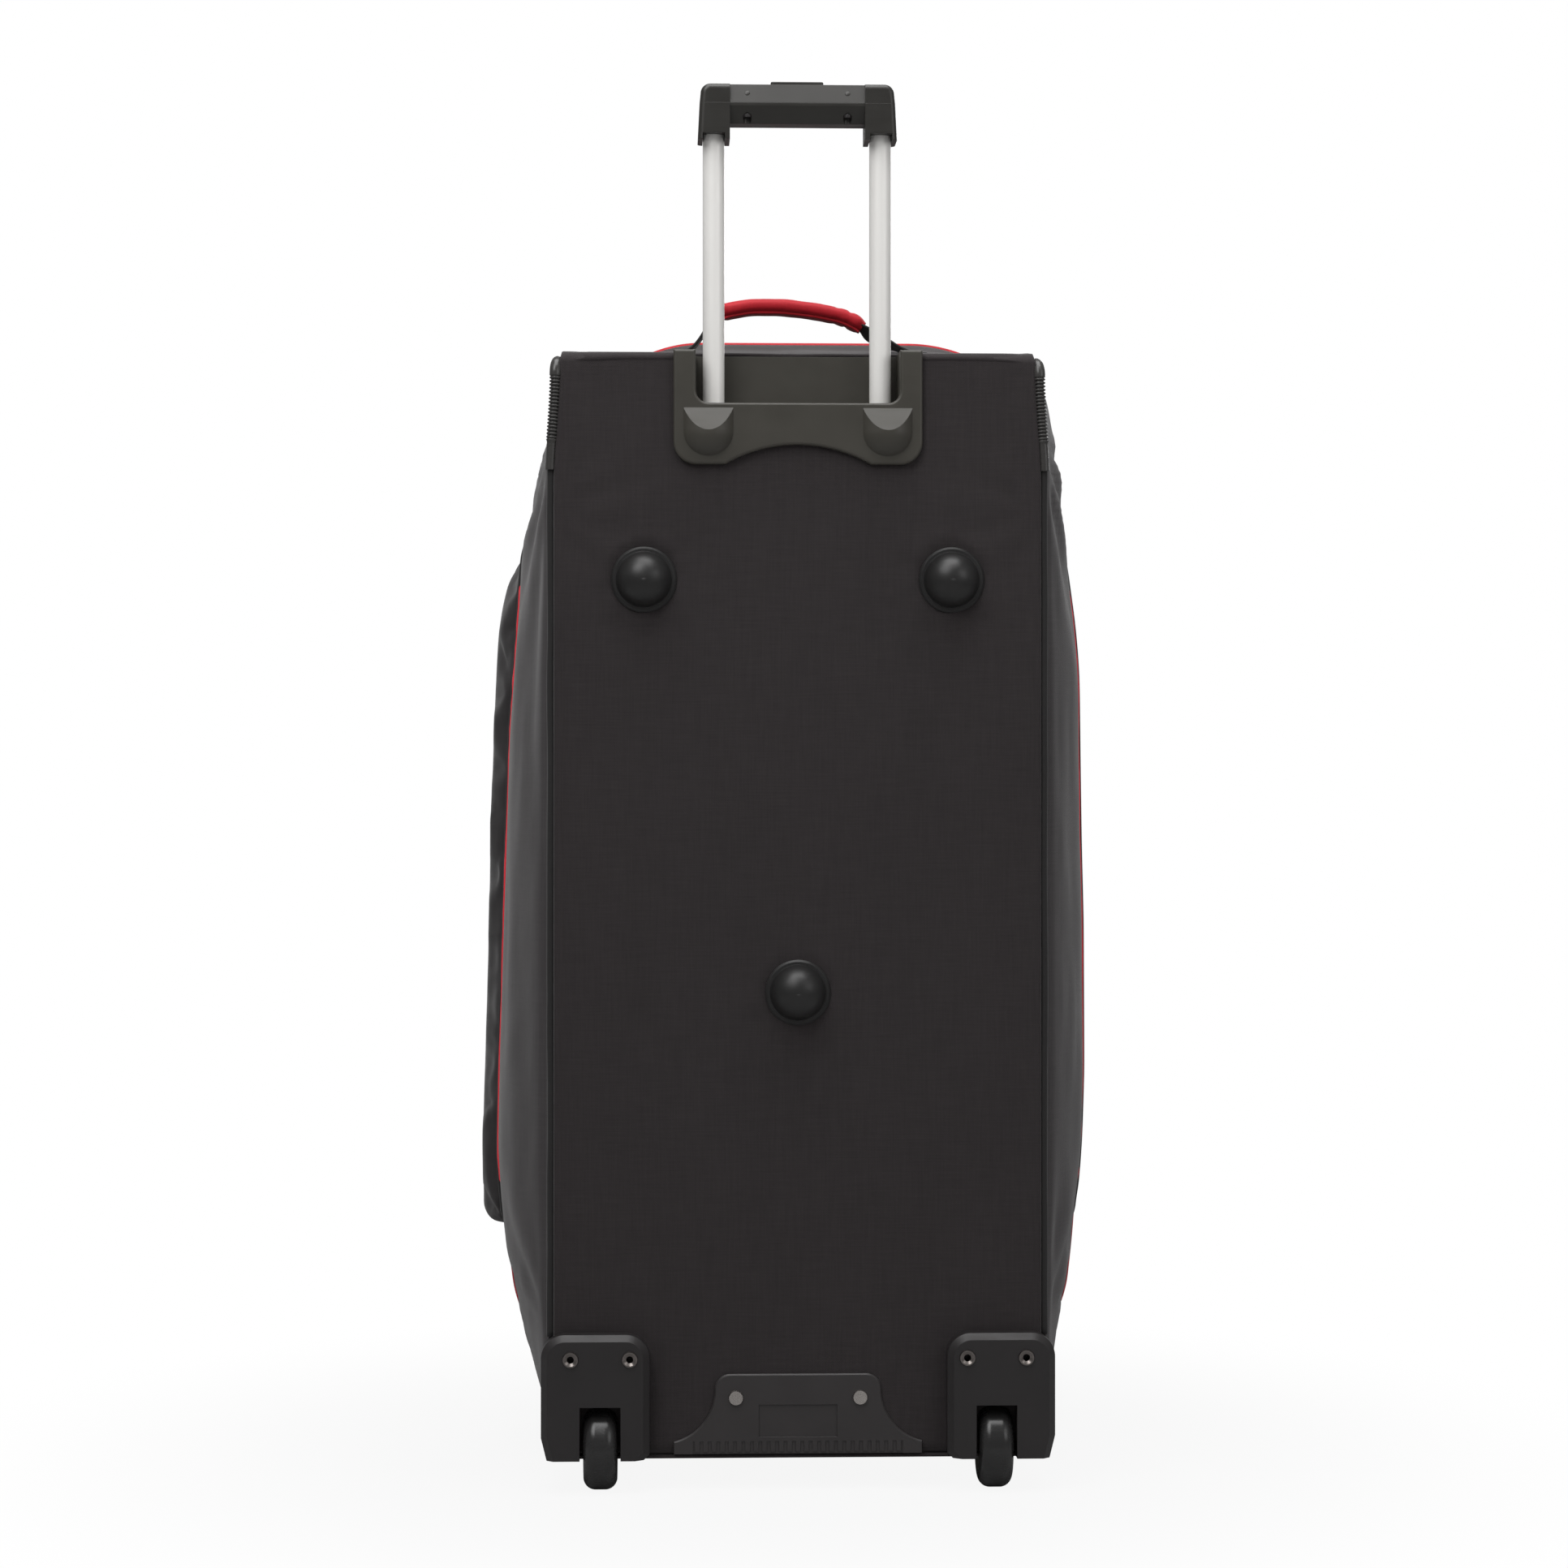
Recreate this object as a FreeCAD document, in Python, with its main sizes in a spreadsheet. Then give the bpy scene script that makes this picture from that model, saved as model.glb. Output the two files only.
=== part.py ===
"""Rolling duffel bag, standing on its two wheels with the pull handle drawn out.

Every piece is drawn in the bag's own frame, in millimetres: X to the right along the back
panel, Y from the outer face of the back panel towards the front, Z up from the floor. The
finished pieces are then moved along Y together, so that the origin is the middle of the
floor area that the bag covers.
"""
import FreeCAD, Part
import math
import os
import re
import Sketcher
from FreeCAD import Vector

SIZES = [
    # Fabric body: back panel, side panels, ends and front
    ("back_half", 172, "half width of the back panel"),
    ("back_low", 25, "height of the bottom end over the floor"),
    ("back_top", 811, "height of the back panel's top edge"),
    ("back_corner", 12, "corner radius of the back panel"),
    ("back_thick", 6, "padded back panel"),
    ("swell_deep", 42, "depth at which the sides have most of their width"),
    ("swell_half", 179, "half width at the upper corners at that depth"),
    ("swell_low_half", 196, "half width at the lower corners there"),
    ("swell_bulge", 11, "how far the sides bow out there"),
    ("swell_corner", 40, "upper corner radius there"),
    ("swell_low_corner", 70, "lower corner radius there"),
    ("flare_deep", 110, "depth at which the sides have reached their width"),
    ("mid_half", 183, "half width at the upper corners at that depth"),
    ("mid_low_half", 206, "half width at the lower corners there"),
    ("mid_bulge", 18, "how far the sides bow out there"),
    ("mid_corner", 70, "upper corner radius there"),
    ("mid_low_corner", 110, "lower corner radius there"),
    ("side_deep", 298, "depth of the side panels"),
    ("front_half", 202, "half width at the front seam's upper corners"),
    ("front_low_half", 219, "half width at its lower corners"),
    ("front_bulge", 16, "how far the sides bow out at the front seam"),
    ("front_corner", 68, "upper corner radius at the front seam"),
    ("front_low_corner", 90, "lower corner radius at the front seam"),
    ("front_top", 853, "height of the front seam"),
    ("wall", 4, "lined fabric wall"),
    ("band_half", 160, "half width of the top and bottom end panels"),
    ("seam_wide", 4, "front seam piping along the depth"),
    ("seam_proud", 2.5, "front seam piping's stand over the fabric"),
    ("ring_deep", 28, "depth of the front panel's rim"),
    ("ring_round", 18, "rounding of the front panel's rim"),
    # Lid and its zip
    ("lid_half", 135, "half width of the opening"),
    ("lid_low", 120, "height of the lid's hinge line"),
    ("lid_high", 775, "height of the opening's top"),
    ("lid_corner", 105, "corner radius of the opening's top"),
    ("lid_gap", 1.5, "gap round the lid, which the zip tape spans"),
    ("hinge_gap", 0.6, "gap under the lid's sewn lower edge"),
    ("lid_crown", 22, "how far the lid bows out"),
    ("lid_slope", 40, "width of the lid's sloping edge"),
    ("zip_wide", 7, "zip chain beside the opening"),
    ("zip_thick", 2, "thickness of the zip chain"),
    ("zip_start", 150, "height of the zip chain's lower ends"),
    ("slider_long", 14, "zip slider"),
    ("slider_wide", 10, "zip slider"),
    ("slider_thick", 3, "zip slider"),
    ("slider_gap", 0.3, "running gap of the zip slider over the chain"),
    ("puller_long", 38, "zip puller"),
    ("puller_thick", 1.6, "zip puller"),
    # Side pockets
    ("pocket_back", 94, "depth of the pocket's back edge"),
    ("pocket_front", 275, "depth of the pocket's front edge"),
    ("pocket_low", 174, "height of the pocket's bottom edge"),
    ("pocket_high", 687, "height of the pocket's top edge"),
    ("pocket_corner", 35, "corner radius of the pocket"),
    ("pocket_proud", 24, "the pocket's face over the side panel where that has reached its width"),
    ("pocket_tilt", 14, "how much further the face stands out at its front edge than at its back"),
    ("pocket_slope", 75, "height over which the pocket's face slopes in at its top"),
    ("pocket_shoulder", 24, "how far the face slopes in"),
    ("pocket_bevel", 12, "bevel round the pocket's face"),
    ("pocket_start", 5, "distance from the end panels at which the pocket is drawn from"),
    ("bead_wide", 3, "red piping behind the pocket, along the depth"),
    ("bead_proud", 2, "red piping's stand over the side panel"),
    ("piping_dia", 6, "edge piping of the back panel"),
    # Ribbed corner guards
    ("guard_low", 728, "height of the guard's lower end"),
    ("guard_sleeve", 22, "length of the smooth sleeve below the ribs"),
    ("guard_dia", 9, "guard across the ribs"),
    ("guard_rib", 0.7, "depth of a rib"),
    ("guard_pitch", 2.5, "spacing of the ribs"),
    ("guard_ribs", 18, "number of ribs"),
    # Stiffener
    ("board_thick", 3.5, "plastic board behind the back panel"),
    ("board_half", 158, "half width of the board"),
    ("board_low", 118, "height of the board's lower edge"),
    ("board_high", 752, "height of the board's upper edge"),
    # Telescopic tubes
    ("tube_x", 60, "distance of each tube from the middle"),
    ("tube_gap", 0.5, "gap between board and outer tubes"),
    ("outer_dia", 19, "outer tube"),
    ("outer_wall", 1, "outer tube's wall"),
    ("inner_dia", 15.6, "inner tube"),
    ("inner_wall", 1, "inner tube's wall"),
    ("run_clear", 0.05, "radial running clearance"),
    ("travel", 190, "how far the handle slides in"),
    ("overlap", 100, "inner tube still held when drawn out"),
    ("foot_thick", 12, "slider foot under the inner tube"),
    ("foot_plug", 14, "slider foot's plug inside the inner tube"),
    ("lock_dia", 5, "lock pin"),
    ("lock_hole", 5.6, "lock holes in the outer tubes"),
    ("lock_back", 0.3, "how far the withdrawn lock pin stays inside its foot"),
    ("collar_dia", 23, "flange of the guide collar"),
    ("collar_neck", 17, "guide collar in the well's floor"),
    ("collar_thick", 2, "flange of the guide collar"),
    ("fit_clear", 0.1, "radial clearance of seated plugs and rivets"),
    ("bracket_low", 48, "lower end of the tube bracket"),
    ("bracket_high", 86, "upper end of the tube bracket"),
    ("bracket_wall", 6, "tube bracket round each tube"),
    ("bracket_seat", 26, "how deep the tubes stand in the bracket"),
    # Handle well
    ("well_half", 89, "half width of the well's face plate"),
    ("well_proud", 6, "face plate in front of the back panel"),
    ("well_high", 814, "top of the two horns"),
    ("well_low", 732, "bottom of the two lobes"),
    ("well_arch", 746, "bottom of the plate in the middle"),
    ("well_corner", 16, "outer radius of the lobes"),
    ("lobe_half", 52, "where the arch meets the lobes"),
    ("horn_wide", 16, "width of a horn"),
    ("horn_round", 9, "rounding of the horns' inner feet"),
    ("well_step", 776, "upper edge of the face plate between the horns"),
    ("well_floor", 771, "floor of the recess"),
    ("well_deep", 38, "depth of the recess behind the back panel's face"),
    ("well_wall", 3, "wall of the recess"),
    ("ramp_x", 64, "distance of each ramp from the middle"),
    ("ramp_wide", 35.6, "width of a ramp"),
    ("ramp_low", 738, "bottom of a ramp"),
    ("ramp_gap", 3.7, "from a ramp's top to the upper edge of the plate"),
    ("ramp_rise", 9, "height of a ramp's nose"),
    # Grip
    ("socket_wide", 23, "grip round each tube"),
    ("grip_deep", 30, "grip from front to back"),
    ("socket_low", 966, "lower end of the sockets"),
    ("bar_rise", 12, "underside of the bar over the sockets' lower end"),
    ("lower_high", 26, "lower shell from the sockets' end to the joint"),
    ("upper_high", 14, "upper shell over the joint"),
    ("grip_round", 7, "rounding of the grip's outer top corners"),
    ("grip_taper", 2, "how much each socket narrows towards its top"),
    ("bar_deep", 28, "bar at its crease, front to back"),
    ("bar_top_deep", 18, "flat top of the bar"),
    ("bar_low_deep", 16, "flat underside of the bar"),
    ("bar_band", 2, "upright band below the crease"),
    ("socket_edge", 4, "rounding of the sockets' upright edges"),
    ("notch_high", 4.4, "notch in each socket's lower end"),
    ("screw_seat", 6, "screw heads' seats over the underside of the bar"),
    ("channel_deep", 14, "channel inside the grip, front to back"),
    ("channel_low", 6, "channel below the joint"),
    ("channel_high", 10, "channel above the joint"),
    ("tube_seat", 17, "how deep the tubes stand in the sockets"),
    ("screw_x", 36, "distance of each screw from the middle"),
    ("screw_head", 5.6, "screw head"),
    ("screw_dia", 3, "screw shank"),
    ("screw_long", 15, "screw"),
    ("button_long", 38, "release button"),
    ("button_wide", 10, "release button"),
    ("button_proud", 3, "button over the grip, which is also its travel"),
    ("button_clear", 0.4, "gap round the button"),
    ("bridge_wide", 8, "bridge that joins the button to the rods"),
    ("bridge_thick", 4, "bridge"),
    ("rod_dia", 4, "push rod"),
    ("rod_gap", 4, "gap between push rod and slider foot"),
    # Wheels and their housings
    ("wheel_x", 141, "distance of each wheel from the middle"),
    ("wheel_y", 6, "depth of the axle"),
    ("wheel_dia", 60, "wheel"),
    ("wheel_wide", 24, "wheel"),
    ("tread_flat", 3.5, "half width of the tread at full diameter"),
    ("shoulder_dia", 46, "tyre at its sides"),
    ("hub_dia", 38, "hub"),
    ("bearing_dia", 22, "ball bearing"),
    ("bearing_wide", 7, "ball bearing"),
    ("axle_dia", 8, "axle"),
    ("axle_head", 13, "axle's head and nut"),
    ("axle_head_thick", 3.5, "axle's head and nut"),
    ("washer_gap", 0.4, "gap between wheel and washer"),
    ("washer_dia", 12, "washer beside the bearing"),
    ("house_in", 106, "housing's inner side"),
    ("house_out", 183, "housing's outer side"),
    ("house_low", 24, "housing's lower edge"),
    ("house_high", 113, "housing's upper edge"),
    ("house_proud", 18, "housing behind the back panel"),
    ("house_deep", 50, "housing inside the bag"),
    ("house_corner", 17, "housing's upper corners"),
    ("house_bevel", 4.5, "bevel round the housing's face"),
    ("house_foot", 4, "how far the housing draws in at its lower corners"),
    ("house_foot_rise", 16, "height over which its outer corner draws in"),
    ("slot_wide", 29, "wheel slot"),
    ("slot_high", 62, "top of the wheel slot"),
    ("slot_deep", 41, "depth of the wheel slot"),
    ("rivet_pitch", 21, "half the spacing of a housing's rivets"),
    ("rivet_z", 96, "height of the housing's rivets"),
    ("rivet_dia", 11.6, "housing rivet's head"),
    ("rivet_bore", 5, "hollow in the housing rivet"),
    ("rivet_rim", 0.9, "raised rim round the housing rivet's dished head"),
    ("rivet_dish", 0.3, "dished head at the hollow"),
    ("rivet_head", 1.6, "rivet head"),
    ("rivet_shank", 7, "housing rivet's shank"),
    ("rivet_long", 14, "housing rivet's shank"),
    # Kick plate
    ("kick_half", 88.5, "half width of the kick plate's foot"),
    ("kick_shoulder", 59.5, "half width of its top"),
    ("kick_low", 26, "kick plate's lower edge"),
    ("kick_high", 83, "kick plate's upper edge"),
    ("kick_thick", 4, "kick plate"),
    ("kick_corner", 11, "kick plate's upper corners"),
    ("kick_skirt", 9, "height of its straight lower edge"),
    ("panel_half", 28, "half width of its recessed panel"),
    ("panel_low", 38, "lower edge of the recessed panel"),
    ("panel_high", 61, "upper edge of the recessed panel"),
    ("panel_sunk", 1, "depth of the recessed panel"),
    ("rib_count", 25, "number of small ribs along the lower edge"),
    ("rib_pitch", 6, "spacing of the small ribs"),
    ("rib_wide", 3.4, "small rib"),
    ("rib_low", 27.5, "lower end of the small ribs"),
    ("rib_high", 35, "upper end of the small ribs"),
    ("rib_sunk", 0.7, "depth of the strip between the small ribs"),
    ("kick_rivet_x", 44.4, "distance of its rivets from the middle"),
    ("kick_rivet_z", 66, "height of its rivets"),
    ("kick_rivet_dia", 11, "its rivets' heads"),
    ("kick_rivet_shank", 5, "its rivets' shanks"),
    # Feet and grab handle
    ("dome_dia", 40, "dome foot"),
    ("dome_high", 20, "dome foot"),
    ("flange_dia", 47, "dome foot's flange"),
    ("flange_thick", 3, "dome foot's flange"),
    ("dome_x", 110, "distance of the two upper feet from the middle"),
    ("dome_z", 650, "height of the two upper feet"),
    ("dome_low_z", 355, "height of the lower foot"),
    ("stand_x", 120, "distance of each stand foot from the middle"),
    ("stand_y", 268, "depth of the stand feet"),
    ("stand_wide", 56, "stand foot"),
    ("stand_long", 34, "stand foot"),
    ("stand_taper", 6, "how much a stand foot narrows towards the floor"),
    ("grab_y", 165, "depth of the grab handle"),
    ("grab_half", 74, "half the span of the grab handle"),
    ("grab_rise", 34, "rise of the grab handle"),
    ("grab_tab", 18, "sewn tab at each end"),
    ("strap_wide", 25, "webbing"),
    ("strap_thick", 3, "webbing"),
    ("wrap_half", 50, "half the length of the padded wrap"),
    ("wrap_thick", 12, "padded wrap"),
    ("wrap_wide", 31, "padded wrap"),
    ("wrap_clear", 0.2, "gap between wrap and webbing"),
]

doc = FreeCAD.newDocument("rolling_duffel")
sheet = doc.addObject("Spreadsheet::Sheet", "Sizes")
NODES = {}

# Places and sizes that follow from the sheet
TUBE_Y = "(back_thick + board_thick + tube_gap + outer_dia / 2)"
RECESS_HALF = "(well_half - horn_wide)"
TRAY_HALF = f"({RECESS_HALF} + well_wall)"
TRAY_LOW = "(well_floor - well_wall)"
TRAY_DEEP = "(well_deep + well_wall)"
OUTER_BORE = "(outer_dia - 2 * outer_wall)"
INNER_BORE = "(inner_dia - 2 * inner_wall)"
OUTER_TOP = TRAY_LOW
BAR_LOW = "(socket_low + bar_rise)"
GRIP_SPLIT = "(socket_low + lower_high)"
GRIP_TOP = f"({GRIP_SPLIT} + upper_high)"
INNER_TOP = "(socket_low + tube_seat)"
INNER_LOW = "(well_floor - overlap)"
BRIDGE_LOW = f"({GRIP_SPLIT} - 1)"
BRIDGE_TOP = f"({BRIDGE_LOW} + bridge_thick)"
RING_FACE = "(side_deep + seam_wide + ring_deep)"
LID_BACK = f"({RING_FACE} - wall)"
POCKET_REACH = "((mid_half + mid_low_half) / 2 + mid_bulge + pocket_proud)"
POCKET_ROOT = "(band_half + pocket_start)"
WHEEL_Z = "(wheel_dia / 2)"
FRONT_MOST = f"({RING_FACE} + lid_crown)"
BACK_MOST = "(wheel_y - wheel_dia / 2)"
MIDDLE_Y = f"(({FRONT_MOST} + {BACK_MOST}) / 2)"
GRAB_RADIUS = "((grab_half ^ 2 + grab_rise ^ 2) / (2 * grab_rise))"
GRAB_CENTRE = f"(grab_rise - {GRAB_RADIUS})"


def top_at(depth):
    """Height of the sloping top end at a depth."""
    return f"(back_top + (front_top - back_top) * ({depth}) / side_deep)"


def fill_sheet():
    for row, (alias, number, meaning) in enumerate(SIZES, 1):
        sheet.set(f"A{row}", alias)
        sheet.set(f"B{row}", str(number))
        sheet.setAlias(f"B{row}", alias)
        sheet.set(f"C{row}", meaning)
    doc.recompute()


def bound(expression):
    """The expression with the sheet's name before each alias."""
    aliases = {alias for alias, _, _ in SIZES}
    return re.sub(r"[a-z_]+", lambda word: f"Sizes.{word[0]}" if word[0] in aliases else word[0], expression)


def value(expression):
    return float(sheet.evalExpression(expression))


# Sketches ---------------------------------------------------------------------------------

def new_body(name):
    return doc.addObject("PartDesign::Body", name)


def sketch_on(body, name, plane, offset="0"):
    """A sketch on one of the body's own origin planes, moved to a coordinate across it."""
    planes = {item.Role: item for item in body.Origin.OriginFeatures}
    sketch = body.newObject("Sketcher::SketchObject", name)
    sketch.AttachmentSupport = (planes[plane + "_Plane"], [""])
    sketch.MapMode = "FlatFace"
    along = f"-({offset})" if plane == "XZ" else offset
    sketch.setExpression(".AttachmentOffset.Base.z", bound(along))
    return sketch


def fix(sketch, geometry, point, axis, expression):
    """Ties one coordinate of a point to the sheet."""
    if expression == "0":
        line = -2 if axis == "X" else -1
        sketch.addConstraint(Sketcher.Constraint("PointOnObject", geometry, point, line))
        return
    number = value(expression)
    if number < 0:
        ends = (geometry, point, -1, 1)
        expression = f"-({expression})"
    else:
        ends = (-1, 1, geometry, point)
    index = sketch.addConstraint(Sketcher.Constraint("Distance" + axis, *ends, abs(number)))
    sketch.setExpression(f"Constraints[{index}]", bound(expression))


def add_arc(sketch, start, end, radius, turn):
    """An arc from start to end, to the left or right; gives its number and its end points."""
    chord = end - start
    middle = (start + end) * 0.5
    left = Vector(-chord.y, chord.x, 0).normalize()
    rise = math.sqrt(max(radius ** 2 - (chord.Length / 2) ** 2, 0))
    centre = middle + left * (rise if turn == "left" else -rise)
    first, last = (start, end) if turn == "left" else (end, start)
    angles = [math.atan2(p.y - centre.y, p.x - centre.x) for p in (first, last)]
    circle = Part.Circle(centre, Vector(0, 0, 1), radius)
    index = sketch.addGeometry(Part.ArcOfCircle(circle, angles[0], angles[1]), False)
    return (index, 1, 2) if turn == "left" else (index, 2, 1)


def draw(sketch, corners):
    """A closed outline. A corner is (u, v), or (u, v, radius, turn) for an arc to the next."""
    points = [Vector(value(corner[0]), value(corner[1]), 0) for corner in corners]
    runs = []
    for index, corner in enumerate(corners):
        start = points[index]
        end = points[(index + 1) % len(points)]
        if len(corner) == 2:
            runs.append((sketch.addGeometry(Part.LineSegment(start, end), False), 1, 2))
            continue
        run = add_arc(sketch, start, end, value(corner[2]), corner[3])
        rule = sketch.addConstraint(Sketcher.Constraint("Radius", run[0], value(corner[2])))
        sketch.setExpression(f"Constraints[{rule}]", bound(corner[2]))
        runs.append(run)
    for index, (run, corner) in enumerate(zip(runs, corners)):
        after = runs[(index + 1) % len(runs)]
        sketch.addConstraint(Sketcher.Constraint("Coincident", run[0], run[2], after[0], after[1]))
        fix(sketch, run[0], run[1], "X", corner[0])
        fix(sketch, run[0], run[1], "Y", corner[1])
    return sketch


def draw_circle(sketch, u, v, diameter):
    centre = Vector(value(u), value(v), 0)
    index = sketch.addGeometry(Part.Circle(centre, Vector(0, 0, 1), value(diameter) / 2), False)
    rule = sketch.addConstraint(Sketcher.Constraint("Diameter", index, value(diameter)))
    sketch.setExpression(f"Constraints[{rule}]", bound(diameter))
    fix(sketch, index, 3, "X", u)
    fix(sketch, index, 3, "Y", v)
    return sketch


def rectangle(u_low, u_high, v_low, v_high):
    return [(u_low, v_low), (u_high, v_low), (u_high, v_high), (u_low, v_high)]


def rounded(u_low, u_high, v_low, v_high, radius):
    """A rectangle with round corners, as corners for draw."""
    return [
        (f"{u_low} + {radius}", v_low), (f"{u_high} - {radius}", v_low, radius, "left"),
        (u_high, f"{v_low} + {radius}"), (u_high, f"{v_high} - {radius}", radius, "left"),
        (f"{u_high} - {radius}", v_high), (f"{u_low} + {radius}", v_high, radius, "left"),
        (u_low, f"{v_high} - {radius}"), (u_low, f"{v_low} + {radius}", radius, "left"),
    ]


# Features ---------------------------------------------------------------------------------

def pad(body, profile, length, reverse=False):
    """Solid from a profile; on an XZ sketch it grows towards -Y unless reversed."""
    feature = body.newObject("PartDesign::Pad", profile.Name + "_pad")
    feature.Profile = profile
    feature.Reversed = reverse
    feature.setExpression("Length", bound(length))
    return feature


def pocket(body, profile, length, reverse=False):
    """Cut from a profile; on an XZ sketch it goes towards +Y unless reversed."""
    feature = body.newObject("PartDesign::Pocket", profile.Name + "_pocket")
    feature.Profile = profile
    feature.Reversed = reverse
    feature.setExpression("Length", bound(length))
    return feature


def revolve(body, profile, axis):
    feature = body.newObject("PartDesign::Revolution", profile.Name + "_turn")
    feature.Profile = profile
    feature.ReferenceAxis = (profile, [axis])
    feature.Angle = 360
    return feature


def loft(body, kind, sections):
    feature = body.newObject(f"PartDesign::{kind}Loft", sections[0].Name + "_loft")
    feature.Profile = sections[0]
    feature.Sections = sections[1:]
    feature.Ruled = True
    return feature


def dress(body, kind, feature, size, wanted):
    """A fillet or chamfer on the edges that wanted accepts."""
    doc.recompute()
    names = [f"Edge{number}" for number, edge in enumerate(feature.Shape.Edges, 1) if wanted(edge)]
    dressing = body.newObject(f"PartDesign::{kind}", f"{feature.Name}_{kind.lower()}")
    dressing.Base = (feature, names)
    dressing.setExpression("Radius" if kind == "Fillet" else "Size", bound(size))
    return dressing


def lies_at(axis, expression):
    """Accepts edges that lie wholly at one coordinate."""
    place = value(expression)

    def test(edge):
        points = [vertex.Point for vertex in edge.Vertexes] + [edge.CenterOfMass]
        return all(abs(getattr(point, axis) - place) < 1e-3 for point in points)
    return test


def runs_along(axis, **places):
    """Accepts straight edges along an axis that pass the given coordinates."""
    wanted = {name: value(expression) for name, expression in places.items()}

    def test(edge):
        start, end = edge.Vertexes[0].Point, edge.Vertexes[-1].Point
        others = [name for name in "xyz" if name != axis]
        straight = all(abs(getattr(start, name) - getattr(end, name)) < 1e-3 for name in others)
        here = all(abs(getattr(start, name) - place) < 1e-3 for name, place in wanted.items())
        return edge.Length > 1e-3 and straight and here
    return test


# Part primitives and booleans -------------------------------------------------------------

def set_place(item, x="0", y="0", z="0"):
    for axis, expression in zip("xyz", (x, y, z)):
        item.setExpression(f"Placement.Base.{axis}", bound(expression))


def box(name, x, y, z):
    """A box between two coordinates on each axis."""
    item = doc.addObject("Part::Box", name)
    for side, (low, high) in zip(("Length", "Width", "Height"), (x, y, z)):
        item.setExpression(side, bound(f"({high}) - ({low})"))
    set_place(item, x[0], y[0], z[0])
    return item


def rod(name, axis, centre, diameter, start, end):
    """A cylinder along an axis between two coordinates."""
    item = doc.addObject("Part::Cylinder", name)
    item.setExpression("Radius", bound(f"({diameter}) / 2"))
    item.setExpression("Height", bound(f"({end}) - ({start})"))
    turn = {"x": (Vector(0, 1, 0), 90), "y": (Vector(1, 0, 0), -90), "z": (Vector(0, 0, 1), 0)}[axis]
    item.Placement = FreeCAD.Placement(Vector(), FreeCAD.Rotation(*turn))
    where = list(centre)
    where.insert("xyz".index(axis), start)
    set_place(item, *where)
    return item


def cut(name, base, tool):
    item = doc.addObject("Part::Cut", name)
    item.Base = base
    item.Tool = tool
    return item


def common(name, base, tool):
    item = doc.addObject("Part::Common", name)
    item.Base = base
    item.Tool = tool
    return item


def compound(name, items):
    item = doc.addObject("Part::Compound", name)
    item.Links = items
    return item


def mirrored(name, source):
    """The source's mirror image in the bag's middle plane."""
    item = doc.addObject("Part::Mirroring", name)
    item.Source = source
    item.Normal = Vector(1, 0, 0)
    return item


def finish(node, item):
    """Labels a sub-part and moves it from the bag's frame to the model's frame."""
    item.Label = node
    set_place(item, y=f"-{MIDDLE_Y}")
    NODES[node] = item
    return item


def finish_pair(node, item):
    """The right-hand sub-part as given, and its mirror image on the left."""
    left = mirrored(f"{node}_left_of_pair", item)
    finish(f"right_{node}", item)
    left.Label = f"left_{node}"
    NODES[f"left_{node}"] = left


# Fabric body ------------------------------------------------------------------------------

def section(body, name, depth, form, top, inset="0"):
    """One cross-section of the bag; form is its half widths above and below, bulge and corner radii."""
    half, low_half, bulge, corner, low_corner = form
    upper = f"({half} - ({inset}))"
    lower = f"({low_half} - ({inset}))"
    low = f"(back_low + ({inset}))"
    high = f"({top} - ({inset}))"
    turn = f"({corner} - ({inset}))"
    low_turn = f"({low_corner} - ({inset}))"
    rise = f"({high} - {low} - {turn} - {low_turn})"
    chord = f"sqrt({rise} ^ 2 + ({lower} - {upper}) ^ 2)"
    bow = f"({chord} ^ 2 / 4 + {bulge} * {bulge}) / (2 * {bulge})"
    side = (bow, "left") if bulge != "0" else ()
    corners = [
        (f"-({lower} - {low_turn})", low), (f"{lower} - {low_turn}", low, low_turn, "left"),
        (lower, f"{low} + {low_turn}", *side), (upper, f"{high} - {turn}", turn, "left"),
        (f"{upper} - {turn}", high), (f"-({upper} - {turn})", high, turn, "left"),
        (f"-{upper}", f"{high} - {turn}", *side), (f"-{lower}", f"{low} + {low_turn}", low_turn, "left"),
    ]
    return draw(sketch_on(body, name, "XZ", depth), corners)


BACK_FORM = ("back_half", "back_half", "0", "back_corner", "back_corner")
SWELL_FORM = ("swell_half", "swell_low_half", "swell_bulge", "swell_corner", "swell_low_corner")
MID_FORM = ("mid_half", "mid_low_half", "mid_bulge", "mid_corner", "mid_low_corner")
FRONT_FORM = ("front_half", "front_low_half", "front_bulge", "front_corner", "front_low_corner")


def front_section(body, name, depth, inset="0"):
    return section(body, name, depth, FRONT_FORM, "front_top", inset)


def bag_form(name, start, inset):
    """The body from the back panel to the front seam, as one solid."""
    body = new_body(name)
    sections = [
        section(body, name + "_back", start, BACK_FORM, top_at(start), inset),
        section(body, name + "_swell", "swell_deep", SWELL_FORM, top_at("swell_deep"), inset),
        section(body, name + "_mid", "flare_deep", MID_FORM, top_at("flare_deep"), inset),
        front_section(body, name + "_front", "side_deep", inset),
    ]
    loft(body, "Additive", sections)
    return body


def rooms():
    """Everything that is let into the body's walls."""
    items = [box("well_room", (f"-{TRAY_HALF}", TRAY_HALF), ("-well_proud", TRAY_DEEP),
                 (TRAY_LOW, "front_top"))]
    for side, (low, high) in {"right": ("house_in", "house_out"), "left": ("-house_out", "-house_in")}.items():
        items.append(box(f"{side}_house_room", (low, high), ("-house_proud", "house_deep"),
                         ("house_low - 5", "house_high")))
    for side, sign in {"right": "", "left": "-"}.items():
        items.append(rod(f"{side}_kick_hole", "y", (f"{sign}kick_rivet_x", "kick_rivet_z"),
                         "kick_rivet_shank + 2 * fit_clear", "-kick_thick", "back_thick"))
    return compound("wall_rooms", items)


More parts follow.
